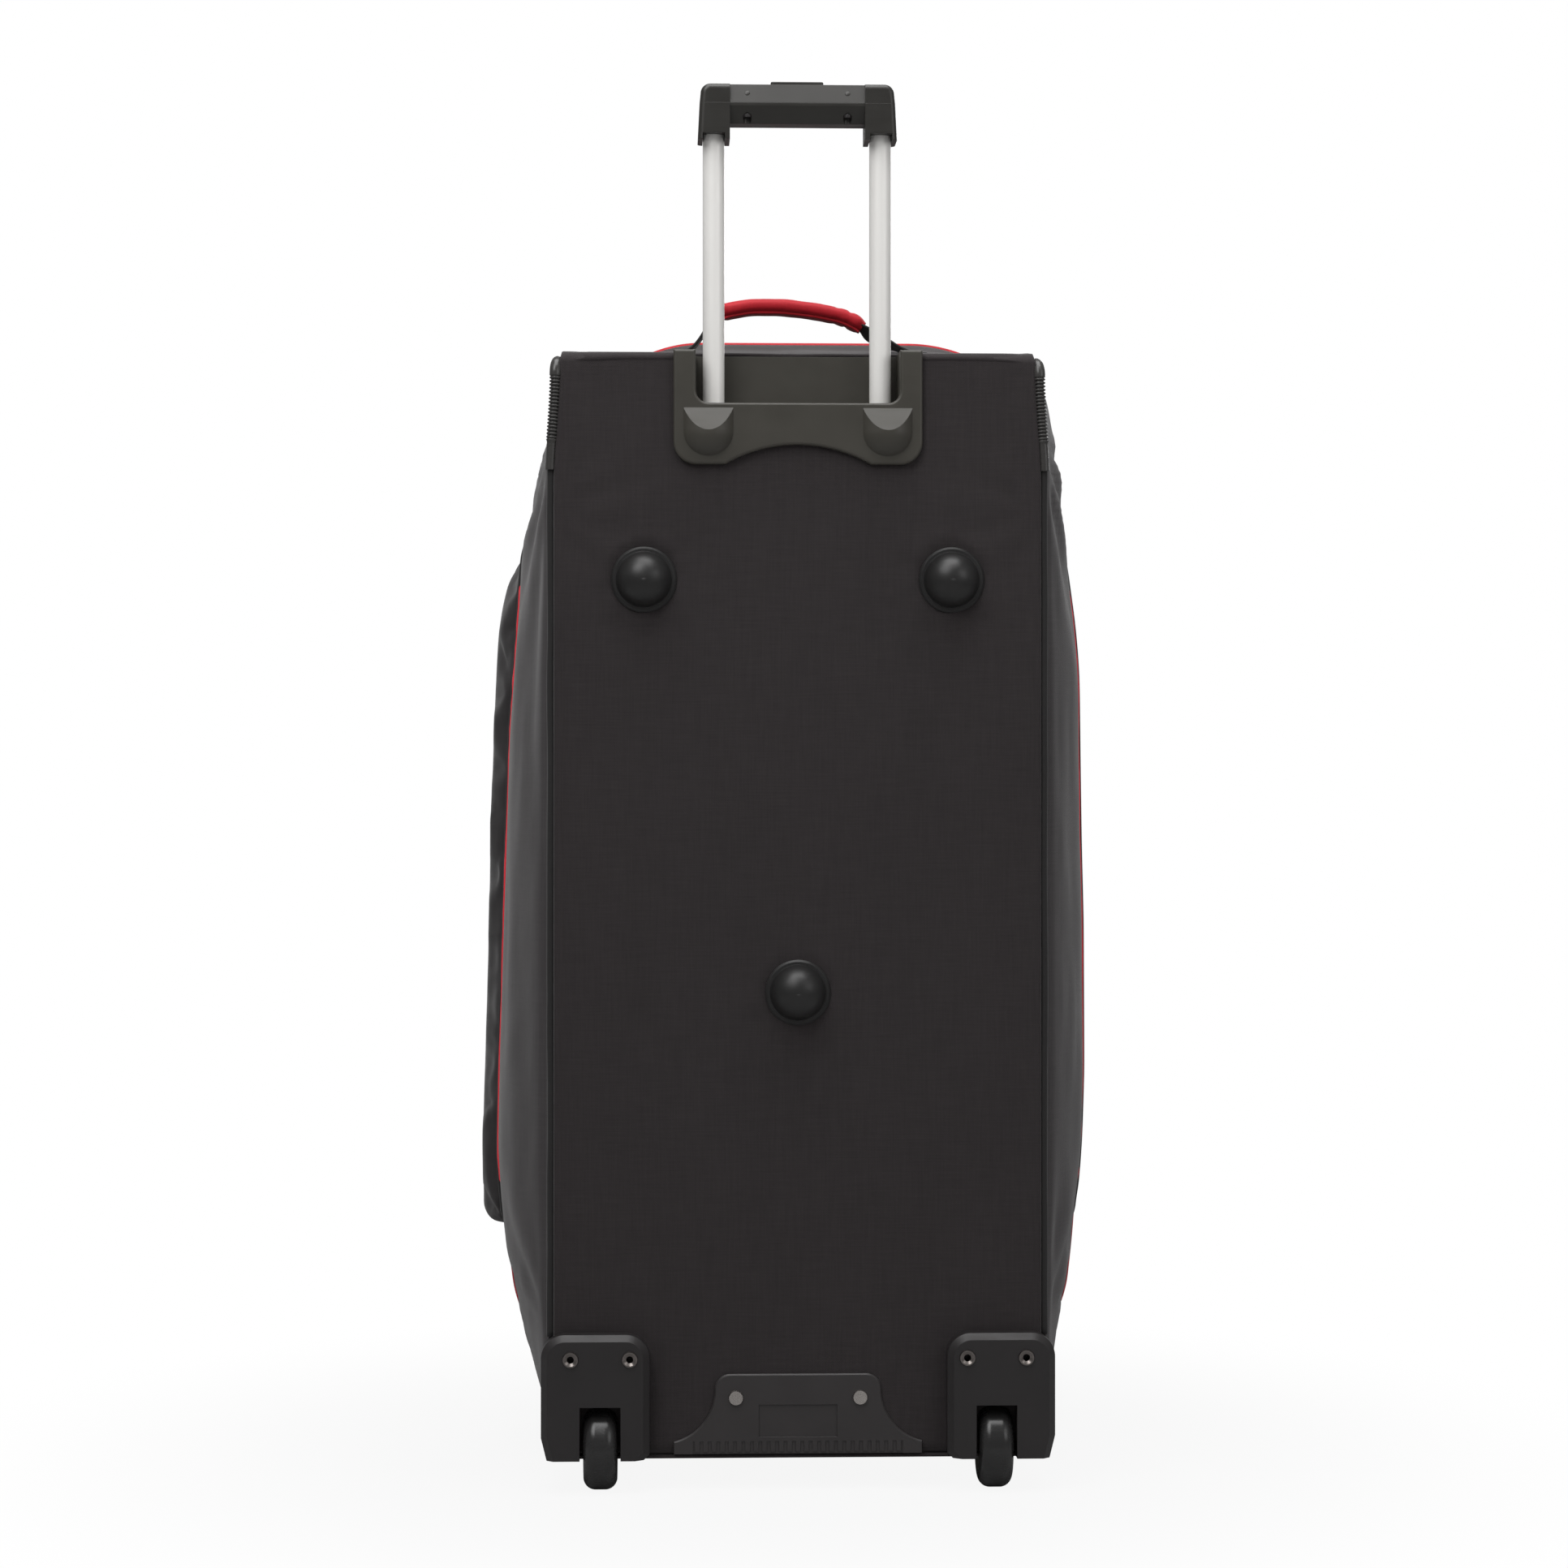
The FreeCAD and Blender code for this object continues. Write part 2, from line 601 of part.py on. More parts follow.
def fabric_walls(outer):
    """Back, side and end panels, cut from one shell along their seams."""
    hollow = bag_form("hollow", "back_thick", "wall")
    walls = cut("walls", cut("shell", outer, hollow), rooms())
    reach = (POCKET_REACH, "back_low - 5", "front_top + 5")
    depth = ("back_thick", "side_deep")
    zones = {
        "back_panel": (f"-{reach[0]}", reach[0], "-1", "back_thick", reach[1], reach[2]),
        "right_side_panel": ("band_half", reach[0], *depth, reach[1], reach[2]),
        "left_side_panel": (f"-{reach[0]}", "-band_half", *depth, reach[1], reach[2]),
        "top_end_panel": ("-band_half", "band_half", *depth, "lid_high", reach[2]),
        "bottom_end_panel": ("-band_half", "band_half", *depth, reach[1], "lid_low"),
    }
    for node, zone in zones.items():
        tool = box(node + "_zone", zone[0:2], zone[2:4], zone[4:6])
        finish(node, common(node + "_cut", walls, tool))


def lid_outline(body, name, depth, inset, low_inset="0"):
    """The arched outline of the opening, drawn in from its arched edge and its lower edge."""
    half = f"(lid_half - ({inset}))"
    low = f"(lid_low + ({low_inset}))"
    high = f"(lid_high - ({inset}))"
    turn = f"(lid_corner - ({inset}))"
    corners = [
        (f"-{half}", low), (half, low), (half, f"{high} - {turn}", turn, "left"),
        (f"{half} - {turn}", high), (f"-({half} - {turn})", high, turn, "left"),
        (f"-{half}", f"{high} - {turn}"),
    ]
    return draw(sketch_on(body, name, "XZ", depth), corners)


def rim_form(name, start, end, inset):
    """The rounded rim of the front as one solid, between two depths."""
    body = new_body(name)
    shoulder = f"({RING_FACE} - ring_round)"
    cheek = "(ring_round * (1 - sqrt(0.5)))"
    sections = [
        front_section(body, name + "_start", start, inset),
        front_section(body, name + "_shoulder", shoulder, inset),
        front_section(body, name + "_cheek", f"{end} - {cheek}", f"{cheek} + {inset}"),
        front_section(body, name + "_face", end, f"ring_round + {inset}"),
    ]
    loft(body, "Additive", sections)
    return body


def front_panel():
    """The rounded rim of the front, with the arched opening that the lid closes."""
    start = "(side_deep + seam_wide)"
    outer = rim_form("rim_outer", start, RING_FACE, "0")
    inner = rim_form("rim_inner", start, LID_BACK, "wall")
    opening = new_body("front_opening")
    pad(opening, lid_outline(opening, "opening", start, "0"), "ring_deep + 5", reverse=True)
    shell = cut("front_shell", outer, inner)
    finish("front_panel", cut("front_cut", shell, opening))


def front_seam_piping():
    """The red piping that stands proud all round between sides and front."""
    body = new_body("seam_piping_body")
    loft(body, "Additive", [
        front_section(body, "seam_back", "side_deep", "-seam_proud / 2"),
        front_section(body, "seam_crest", "side_deep + seam_wide / 2", "-seam_proud"),
        front_section(body, "seam_front", "side_deep + seam_wide", "-seam_proud / 2"),
    ])
    inner = new_body("seam_inner")
    pad(inner, front_section(inner, "seam_hole", "side_deep", "wall"), "seam_wide", reverse=True)
    finish("front_seam_piping", cut("seam_cut", body, inner))


def lid():
    """The zipped lid: a shallow dished panel whose edges slope up to its flat face."""
    outer = new_body("lid_outer")
    loft(outer, "Additive", [
        lid_outline(outer, "lid_foot", LID_BACK, "lid_gap", "hinge_gap"),
        lid_outline(outer, "lid_edge", RING_FACE, "lid_gap", "hinge_gap"),
        lid_outline(outer, "lid_face", FRONT_MOST, "lid_gap + lid_slope", "hinge_gap + lid_slope"),
    ])
    inner = new_body("lid_inner")
    loft(inner, "Additive", [
        lid_outline(inner, "lid_hollow", LID_BACK, "lid_gap + wall", "hinge_gap + wall"),
        lid_outline(inner, "lid_hollow_edge", RING_FACE, "lid_gap + 2 * wall", "hinge_gap + 2 * wall"),
        lid_outline(inner, "lid_hollow_face", f"{FRONT_MOST} - wall", "lid_gap + wall + lid_slope",
                    "hinge_gap + wall + lid_slope"),
    ])
    finish("lid_panel", cut("lid_cut", outer, inner))


def zip_chain():
    """The zip round three sides of the opening, on the front panel's face."""
    body = new_body("zip_chain_body")
    reach = "(zip_wide + lid_gap)"
    out_half = f"(lid_half + {reach})"
    out_turn = f"(lid_corner + {reach})"
    in_half = "(lid_half + lid_gap)"
    in_turn = "(lid_corner + lid_gap)"
    bend = "(lid_high - lid_corner)"
    crest_out = f"(lid_high + {reach})"
    crest_in = "(lid_high + lid_gap)"
    flat = "(lid_half - lid_corner)"
    corners = [
        (in_half, "zip_start"), (out_half, "zip_start"), (out_half, bend, out_turn, "left"),
        (flat, crest_out), (f"-{flat}", crest_out, out_turn, "left"), (f"-{out_half}", bend),
        (f"-{out_half}", "zip_start"), (f"-{in_half}", "zip_start"), (f"-{in_half}", bend, in_turn, "right"),
        (f"-{flat}", crest_in), (flat, crest_in, in_turn, "right"), (in_half, bend),
    ]
    pad(body, draw(sketch_on(body, "chain", "XZ", RING_FACE), corners), "zip_thick", reverse=True)
    finish("zip_chain", body)


def zip_slider():
    """The slider astride the right-hand run of the chain, with its puller hanging down."""
    middle = "(lid_half + lid_gap + zip_wide / 2)"
    back = f"({RING_FACE} + zip_thick + slider_gap)"
    top = "(lid_high - lid_corner)"
    body = new_body("slider_body")
    outline = rounded(f"{middle} - slider_wide / 2", f"{middle} + slider_wide / 2",
                      f"{top} - slider_long", top, "2")
    pad(body, draw(sketch_on(body, "slider", "XZ", back), outline), "slider_thick", reverse=True)
    finish("zip_slider", body)
    puller = new_body("puller_body")
    outline = rounded(f"{middle} - 3", f"{middle} + 3", f"{top} - 5 - puller_long", f"{top} - 5", "2.9")
    pad(puller, draw(sketch_on(puller, "puller", "XZ", f"{back} + slider_thick"), outline),
        "puller_thick", reverse=True)
    finish("zip_puller", puller)


def side_pockets(outer):
    """The padded pocket on each side: three profiles give its outline, its slope and its flare."""
    wide = f"{POCKET_REACH} - {POCKET_ROOT}"
    outline = new_body("pocket_outline")
    corners = rounded("pocket_back", "pocket_front", "pocket_low", "pocket_high", "pocket_corner")
    pad(outline, draw(sketch_on(outline, "pocket", "YZ", POCKET_ROOT), corners), wide)
    slope = new_body("pocket_slope")
    corners = [
        (POCKET_ROOT, "pocket_low"), (f"{POCKET_REACH} - pocket_bevel", "pocket_low"),
        (POCKET_REACH, "pocket_low + pocket_bevel"), (POCKET_REACH, "pocket_high - pocket_slope"),
        (f"{POCKET_REACH} - pocket_shoulder", "pocket_high"), (POCKET_ROOT, "pocket_high"),
    ]
    pad(slope, draw(sketch_on(slope, "pocket_view", "XZ", "pocket_back"), corners),
        "pocket_front - pocket_back", reverse=True)
    flare = new_body("pocket_flare")
    back_face = f"({POCKET_REACH} - pocket_tilt)"
    corners = [
        (POCKET_ROOT, "pocket_back"), (f"{back_face} - pocket_bevel / 2", "pocket_back"),
        (back_face, "pocket_back + pocket_bevel"), (POCKET_REACH, "pocket_front - pocket_bevel"),
        (f"{POCKET_REACH} - pocket_bevel", "pocket_front"), (POCKET_ROOT, "pocket_front"),
    ]
    pad(flare, draw(sketch_on(flare, "pocket_plan", "XY", "pocket_low"), corners), "pocket_high - pocket_low")
    form = common("pocket_form", common("pocket_block", outline, slope), flare)
    finish_pair("side_pocket", cut("pocket_cut", form, outer))


def pocket_piping(outer):
    """A bead that follows the side panel's bow, just behind the pocket."""
    body = new_body("pocket_piping_body")
    back = "pocket_back - bead_wide"
    band = section(body, "bead", back, MID_FORM, top_at("flare_deep"), "1 - bead_proud")
    pad(body, band, "bead_wide", reverse=True)
    zone = box("bead_zone", (POCKET_ROOT, POCKET_REACH), (back, "pocket_back"),
               ("pocket_low + pocket_corner / 2", "pocket_high - pocket_corner / 2"))
    finish_pair("pocket_piping", cut("bead_cut", common("bead_run", body, zone), outer))


def edge_piping(outer):
    """The round piping down each edge of the back panel, under the ribbed guard at its top."""
    round_bar = rod("piping_bar", "z", ("back_half", "0"), "piping_dia", "house_high", "guard_low")
    finish_pair("edge_piping", cut("piping_cut", round_bar, outer))


def corner_guards(outer):
    """The ribbed sleeve over the piping at each upper corner."""
    body = new_body("guard_body")
    ribs = int(value("guard_ribs"))
    crest = "(guard_dia / 2)"
    root = "(guard_dia / 2 - guard_rib)"
    first = "(guard_low + guard_sleeve)"
    corners = [("0", "guard_low"), (root, "guard_low")]
    for rib in range(ribs):
        start = f"({first} + {rib} * guard_pitch)"
        corners += [(root, start), (crest, f"{start} + guard_pitch / 2")]
    last = f"({first} + {ribs} * guard_pitch)"
    corners += [(root, last), (root, "back_top"), ("0", "back_top")]
    revolve(body, draw(sketch_on(body, "guard", "XZ"), corners), "V_Axis")
    set_place(body, x="back_half")
    finish_pair("corner_guard", cut("guard_cut", body, outer))


def base_board():
    body = new_body("board_body")
    corners = rounded("-board_half", "board_half", "board_low", "board_high", "back_corner")
    pad(body, draw(sketch_on(body, "board", "XZ", "back_thick"), corners), "board_thick", reverse=True)
    finish("base_board", body)


# Handle well and tubes --------------------------------------------------------------------

def well_plate(body):
    """The face plate with its two horns, two lobes and the arch between them."""
    inner = RECESS_HALF
    low_turn = "(well_low + well_corner)"
    span = "(lobe_half * lobe_half + (well_arch - well_low) ^ 2) / (2 * (well_arch - well_low))"
    corners = [
        ("-(well_half - well_corner)", "well_low"), ("-lobe_half", "well_low", span, "right"),
        ("lobe_half", "well_low"), ("well_half - well_corner", "well_low", "well_corner", "left"),
        ("well_half", low_turn), ("well_half", "well_high"), (inner, "well_high"),
        (inner, "well_step + horn_round", "horn_round", "right"), (f"{inner} - horn_round", "well_step"),
        (f"-({inner} - horn_round)", "well_step", "horn_round", "right"),
        (f"-{inner}", "well_step + horn_round"), (f"-{inner}", "well_high"), ("-well_half", "well_high"),
        ("-well_half", low_turn, "well_corner", "left"),
    ]
    plate = pad(body, draw(sketch_on(body, "plate", "XZ", "-well_proud"), corners),
                "well_proud", reverse=True)
    return plate


def handle_well():
    """Face plate and open-topped tray that the grip sinks into, in one moulding."""
    body = new_body("well_body")
    plate = well_plate(body)
    dress(body, "Fillet", plate, "well_proud / 3", lies_at("y", "-well_proud"))
    tray = rectangle(f"-{TRAY_HALF}", TRAY_HALF, TRAY_LOW, "well_high")
    pad(body, draw(sketch_on(body, "tray", "XZ", "0"), tray), TRAY_DEEP, reverse=True)
    recess = rectangle(f"-{RECESS_HALF}", RECESS_HALF, "well_floor", "well_high + 5")
    pocket(body, draw(sketch_on(body, "recess", "XZ", "0"), recess), "well_deep")
    holes = sketch_on(body, "collar_holes", "XY", "well_floor")
    for x in ("tube_x", "-tube_x"):
        draw_circle(holes, x, TUBE_Y, "collar_neck + 2 * fit_clear")
    pocket(body, holes, "2 * well_wall")
    whole = doc.addObject("Part::MultiFuse", "well_with_ramps")
    whole.Shapes = [body, ramp("ramp_right", ""), ramp("ramp_left", "-")]
    finish("handle_well", whole)


def ramp(name, sign):
    """A nose on the plate below each tube: a rounded boss cut off by a plane that rises downwards."""
    half = "(ramp_wide / 2)"
    radius = f"(({half} ^ 2 + ramp_rise ^ 2) / (2 * ramp_rise))"
    middle = f"{sign}ramp_x"
    depth = f"({radius} - ramp_rise - well_proud)"
    turn = f"(ramp_low + {half})"
    top = "(well_step - ramp_gap)"
    stem = rod(f"{name}_stem", "z", (middle, depth), f"2 * {radius}", turn, top)
    end = doc.addObject("Part::Sphere", f"{name}_end")
    end.setExpression("Radius", bound(radius))
    set_place(end, middle, depth, turn)
    boss = doc.addObject("Part::Fuse", f"{name}_boss")
    boss.Base = stem
    boss.Tool = end
    wedge = new_body(f"{name}_wedge")
    corners = [("-well_proud / 2", "ramp_low - 5"), ("-well_proud - ramp_rise", "ramp_low - 5"),
               ("-well_proud - ramp_rise", turn), ("-well_proud", top), ("-well_proud / 2", top)]
    pad(wedge, draw(sketch_on(wedge, f"{name}_side", "YZ", f"{middle} - {half}"), corners), "ramp_wide")
    return common(name, boss, wedge)


def ring(name, outer, bore, z):
    """A turned ring or tube about Z."""
    body = new_body(name)
    corners = rectangle(f"({bore}) / 2", f"({outer}) / 2", z[0], z[1])
    revolve(body, draw(sketch_on(body, name + "_half", "XZ"), corners), "V_Axis")
    return body


def outer_tubes():
    """The fixed tubes, with a lock hole for each end of the travel."""
    body = ring("outer_tube_body", "outer_dia", OUTER_BORE, ("bracket_high - bracket_seat", OUTER_TOP))
    lock_high = f"({INNER_LOW} - foot_thick / 2)"
    holes = sketch_on(body, "lock_holes", "XZ")
    for height in (lock_high, f"({lock_high} - travel)"):
        draw_circle(holes, "0", height, "lock_hole")
    pocket(body, holes, "outer_dia")
    set_place(body, x="tube_x", y=TUBE_Y)
    finish_pair("outer_tube", compound("outer_tube_at_place", [body]))


def tube_collars():
    """The guide collars that sit in the floor of the well."""
    items = []
    for side in ("", "-"):
        name = "collar_left" if side else "collar_right"
        body = new_body(name)
        bore = "(inner_dia / 2 + run_clear)"
        corners = [(bore, TRAY_LOW), ("collar_neck / 2", TRAY_LOW), ("collar_neck / 2", "well_floor"),
                   ("collar_dia / 2", "well_floor"), ("collar_dia / 2", "well_floor + collar_thick"),
                   (bore, "well_floor + collar_thick")]
        revolve(body, draw(sketch_on(body, name + "_half", "XZ"), corners), "V_Axis")
        set_place(body, x=f"{side}tube_x", y=TUBE_Y)
        items.append(body)
    finish("tube_collars", compound("collar_pair", items))


def tube_bracket():
    """The moulding behind the kick plate that the outer tubes stand in."""
    body = new_body("bracket_body")
    half = "(tube_x + outer_dia / 2 + bracket_wall)"
    deep = f"({TUBE_Y} + outer_dia / 2 + bracket_wall - back_thick)"
    corners = rounded(f"-{half}", half, "bracket_low", "bracket_high", "bracket_wall")
    pad(body, draw(sketch_on(body, "bracket", "XZ", "back_thick"), corners), deep, reverse=True)
    seats = sketch_on(body, "tube_seats", "XY", "bracket_high")
    for x in ("tube_x", "-tube_x"):
        draw_circle(seats, x, TUBE_Y, "outer_dia + 2 * fit_clear")
    pocket(body, seats, "bracket_seat")
    rivets = sketch_on(body, "bracket_rivets", "XZ", "back_thick")
    for x in ("kick_rivet_x", "-kick_rivet_x"):
        draw_circle(rivets, x, "kick_rivet_z", "kick_rivet_shank + 2 * fit_clear")
    pocket(body, rivets, "bracket_wall")
    finish("tube_bracket", body)


# Pull handle ------------------------------------------------------------------------------

def inner_tubes():
    body = ring("inner_tube_body", "inner_dia", INNER_BORE, (INNER_LOW, INNER_TOP))
    set_place(body, x="tube_x", y=TUBE_Y)
    finish_pair("inner_tube", compound("inner_tube_at_place", [body]))


def slider_feet():
    """Plastic feet that guide the inner tubes, each with the bore of its lock pin."""
    items = []
    for side in ("", "-"):
        name = "foot_left" if side else "foot_right"
        body = new_body(name)
        plug = f"({INNER_BORE} / 2 - fit_clear)"
        wide = f"({OUTER_BORE} / 2 - run_clear)"
        corners = [("0", f"{INNER_LOW} - foot_thick"), (wide, f"{INNER_LOW} - foot_thick"),
                   (wide, INNER_LOW), (plug, INNER_LOW), (plug, f"{INNER_LOW} + foot_plug"),
                   ("0", f"{INNER_LOW} + foot_plug")]
        revolve(body, draw(sketch_on(body, name + "_half", "XZ"), corners), "V_Axis")
        hole = sketch_on(body, name + "_pin_bore", "XZ", "0")
        draw_circle(hole, "0", f"{INNER_LOW} - foot_thick / 2", "lock_dia + 2 * fit_clear")
        pocket(body, hole, OUTER_BORE)
        set_place(body, x=f"{side}tube_x", y=TUBE_Y)
        items.append(body)
    finish("slider_feet", compound("foot_pair", items))


def lock_pins():
    """The two spring pins, drawn back clear of the outer tubes."""
    height = f"{INNER_LOW} - foot_thick / 2"
    end = f"{TUBE_Y} + {OUTER_BORE} / 2 - run_clear - lock_back"
    items = [rod(f"lock_pin_{side}", "y", (f"{sign}tube_x", height), "lock_dia", TUBE_Y, end)
             for side, sign in (("right", ""), ("left", "-"))]
    finish("lock_pins", compound("lock_pin_pair", items))


def grip_channel(body, name, low, length, reverse=False):
    """The channel that the button's bridge moves in."""
    half = "(tube_x + rod_dia)"
    corners = rectangle(f"-{half}", half, f"{TUBE_Y} - channel_deep / 2", f"{TUBE_Y} + channel_deep / 2")
    pocket(body, draw(sketch_on(body, name, "XY", low), corners), length, reverse)


def socket_blocks(body, name, low, high, top_turn="0"):
    """The grip's two ends between two heights, narrowing upwards."""
    def out(height):
        share = f"({height} - socket_low) / ({GRIP_TOP} - socket_low)"
        return f"(tube_x + socket_wide / 2 - grip_taper * {share})"
    inn = "(tube_x - socket_wide / 2)"
    start = f"{TUBE_Y} - grip_deep / 2"
    for side, sign in (("right", ""), ("left", "-")):
        corners = [(f"{sign}{inn}", low), (f"{sign}{out(low)}", low)]
        if top_turn == "0":
            corners.append((f"{sign}{out(high)}", high))
        else:
            turn = "left" if side == "right" else "right"
            corners += [(f"{sign}{out(high)}", f"{high} - {top_turn}", top_turn, turn),
                        (f"{sign}({out(high)} - {top_turn})", high)]
        corners.append((f"{sign}{inn}", high))
        sketch = draw(sketch_on(body, f"{name}_{side}", "XZ", start), corners)
        block = pad(body, sketch, "grip_deep", reverse=True)
    doc.recompute()
    outside = value(inn) + value("socket_wide") / 2
    faces = [value(start), value(f"{TUBE_Y} + grip_deep / 2")]

    def upright(edge):
        ends = [vertex.Point for vertex in edge.Vertexes]
        on_face = any(all(abs(point.y - face) < 1e-3 for point in ends) for face in faces)
        rise = abs(ends[0].z - ends[-1].z)
        return on_face and abs(edge.CenterOfMass.x) > outside and rise > value(high) / 1000
    return dress(body, "Fillet", block, "socket_edge", upright)


def grip_bar(body, name, corners):
    """The bar between the sockets; corners are (half depth, height) from its lowest to its highest."""
    inn = "(tube_x - socket_wide / 2)"
    front = [(f"{TUBE_Y} - {half}", height) for half, height in corners]
    back = [(f"{TUBE_Y} + {half}", height) for half, height in reversed(corners)]
    pad(body, draw(sketch_on(body, name, "YZ", f"-{inn} - 1"), back + front), f"2 * {inn} + 2")


def tube_circles(body, name, plane_height, diameter):
    sketch = sketch_on(body, name, "XY", plane_height)
    for x in ("tube_x", "-tube_x"):
        draw_circle(sketch, x, TUBE_Y, diameter)
    return sketch


def screw_circles(body, name, plane_height, diameter):
    sketch = sketch_on(body, name, "XY", plane_height)
    for x in ("screw_x", "-screw_x"):
        draw_circle(sketch, x, f"{TUBE_Y} - channel_deep / 2 - screw_dia", diameter)
    return sketch


def grip_lower_shell():
    """The lower shell: the bar's underside and the notched sockets round the tubes."""
    body = new_body("grip_lower_body")
    socket_blocks(body, "lower_socket", "socket_low", GRIP_SPLIT)
    grip_bar(body, "lower_bar", [("bar_low_deep / 2", BAR_LOW), ("bar_deep / 2", f"{GRIP_SPLIT} - bar_band"),
                                 ("bar_deep / 2", GRIP_SPLIT)])
    grip_channel(body, "lower_channel", GRIP_SPLIT, "channel_low")
    pocket(body, tube_circles(body, "sockets", "socket_low", "inner_dia + 2 * fit_clear"),
           "tube_seat", reverse=True)
    pocket(body, tube_circles(body, "rod_holes", "socket_low", "rod_dia + 2"), "lower_high", reverse=True)
    pocket(body, screw_circles(body, "head_rooms", BAR_LOW, "screw_head + 2 * fit_clear"),
           "screw_seat", reverse=True)
    pocket(body, screw_circles(body, "shank_holes", BAR_LOW, "screw_dia + 2 * fit_clear"),
           "lower_high - bar_rise", reverse=True)
    half = "(inner_dia / 2 + fit_clear)"
    for side, middle in (("right", "tube_x"), ("left", "-tube_x")):
        notch = rectangle(f"{middle} - {half}", f"{middle} + {half}", "socket_low - 1", "socket_low + notch_high")
        start = f"{TUBE_Y} - grip_deep / 2 - 1"
        pocket(body, draw(sketch_on(body, f"notch_{side}", "XZ", start), notch), "grip_deep + 2")
    finish("grip_lower_shell", body)


def grip_upper_shell():
    """The upper shell with the button's window."""
    body = new_body("grip_upper_body")
    socket_blocks(body, "upper_socket", GRIP_SPLIT, GRIP_TOP, "grip_round")
    grip_bar(body, "upper_bar", [("bar_deep / 2", GRIP_SPLIT), ("bar_top_deep / 2", GRIP_TOP)])
    grip_channel(body, "upper_channel", GRIP_SPLIT, "channel_high", reverse=True)
    half_long = "(button_long / 2 + button_clear)"
    half_wide = "(button_wide / 2 + button_clear)"
    window = rectangle(f"-{half_long}", half_long, f"{TUBE_Y} - {half_wide}", f"{TUBE_Y} + {half_wide}")
    pocket(body, draw(sketch_on(body, "button_window", "XY", GRIP_TOP), window), "upper_high")
    pocket(body, screw_circles(body, "screw_bores", GRIP_SPLIT, "screw_dia + 2 * fit_clear"),
           "screw_long - (lower_high - bar_rise - screw_seat) + 1", reverse=True)
    finish("grip_upper_shell", body)


def grip_screws():
    """Two screws from below that hold the grip's shells together."""
    items = []
    for side in ("", "-"):
        name = "screw_left" if side else "screw_right"
        body = new_body(name)
        seat = f"({BAR_LOW} + screw_seat)"
        corners = [("0", f"{seat} - 2"), ("screw_head / 2", f"{seat} - 2"), ("screw_head / 2", seat),
                   ("screw_dia / 2", seat), ("screw_dia / 2", f"{seat} + screw_long"),
                   ("0", f"{seat} + screw_long")]
        revolve(body, draw(sketch_on(body, name + "_half", "XZ"), corners), "V_Axis")
        set_place(body, x=f"{side}screw_x", y=f"{TUBE_Y} - channel_deep / 2 - screw_dia")
        items.append(body)
    finish("grip_screws", compound("screw_pair", items))


def release_button():
    """The button on its bridge, and the two push rods that hang from the bridge."""
    half_long = "(button_long / 2)"
    half_wide = "(button_wide / 2)"
    body = new_body("button_body")
    sketch = sketch_on(body, "button", "XY", BRIDGE_TOP)
    draw(sketch, rounded(f"-{half_long}", half_long, f"{TUBE_Y} - {half_wide}", f"{TUBE_Y} + {half_wide}", "2"))
    cap = pad(body, sketch, f"{GRIP_TOP} + button_proud - {BRIDGE_TOP}")
    dress(body, "Fillet", cap, "1", lies_at("z", f"{GRIP_TOP} + button_proud"))
    finish("release_button", body)
    bridge = new_body("bridge_body")
    reach = "(tube_x + rod_dia / 2)"
    corners = rectangle(f"-{reach}", reach, f"{TUBE_Y} - bridge_wide / 2", f"{TUBE_Y} + bridge_wide / 2")
    pad(bridge, draw(sketch_on(bridge, "bridge", "XY", BRIDGE_LOW), corners), "bridge_thick")
    finish("button_bridge", bridge)
    low = f"({INNER_LOW} + foot_plug + rod_gap)"
    rods = [rod(f"push_rod_{side}", "z", (f"{sign}tube_x", TUBE_Y), "rod_dia", low, BRIDGE_LOW)
            for side, sign in (("right", ""), ("left", "-"))]
    finish("push_rods", compound("push_rod_pair", rods))


# Wheels -----------------------------------------------------------------------------------

def wheel_housing():
    """The corner moulding that carries a wheel, with the slot the wheel turns in."""
    body = new_body("housing_body")
    corners = [
        ("house_in + house_foot", "house_low"), ("house_out - house_foot", "house_low"),
        ("house_out", "house_low + house_foot_rise"),
        ("house_out", "house_high - house_corner", "house_corner", "left"),
        ("house_out - house_corner", "house_high"),
        ("house_in + house_corner", "house_high", "house_corner", "left"),
        ("house_in", "house_high - house_corner"), ("house_in", "house_low + house_foot"),
    ]
    block = pad(body, draw(sketch_on(body, "housing", "XZ", "-house_proud"), corners),
                "house_proud + house_deep", reverse=True)
    face = lies_at("y", "-house_proud")
    low = value("house_low")
    dress(body, "Chamfer", block, "house_bevel", lambda edge: face(edge) and edge.CenterOfMass.z > low + 1)
    slot = rectangle("wheel_x - slot_wide / 2", "wheel_x + slot_wide / 2", "house_low - 5", "slot_high")
    pocket(body, draw(sketch_on(body, "slot", "XZ", "-house_proud"), slot), "house_proud + slot_deep")
    bore = sketch_on(body, "axle_bore", "YZ", "wheel_x + slot_wide / 2 + axle_head_thick * 2")
    draw_circle(bore, "wheel_y", WHEEL_Z, "axle_dia + 2 * fit_clear")
    pocket(body, bore, "slot_wide + 4 * axle_head_thick")
    rivets = sketch_on(body, "rivet_bores", "XZ", "-house_proud")
    for sign in ("+", "-"):
        draw_circle(rivets, f"wheel_x {sign} rivet_pitch", "rivet_z", "rivet_shank + 2 * fit_clear")
    pocket(body, rivets, "rivet_long")
    finish_pair("wheel_housing", body)


def turned_x(name, corners):
    """A body turned about the wheel's axis; corners are (along the axle, radius)."""
    body = new_body(name)
    revolve(body, draw(sketch_on(body, name + "_half", "XY"), corners), "H_Axis")
    set_place(body, x="wheel_x", y="wheel_y", z=WHEEL_Z)
    return body


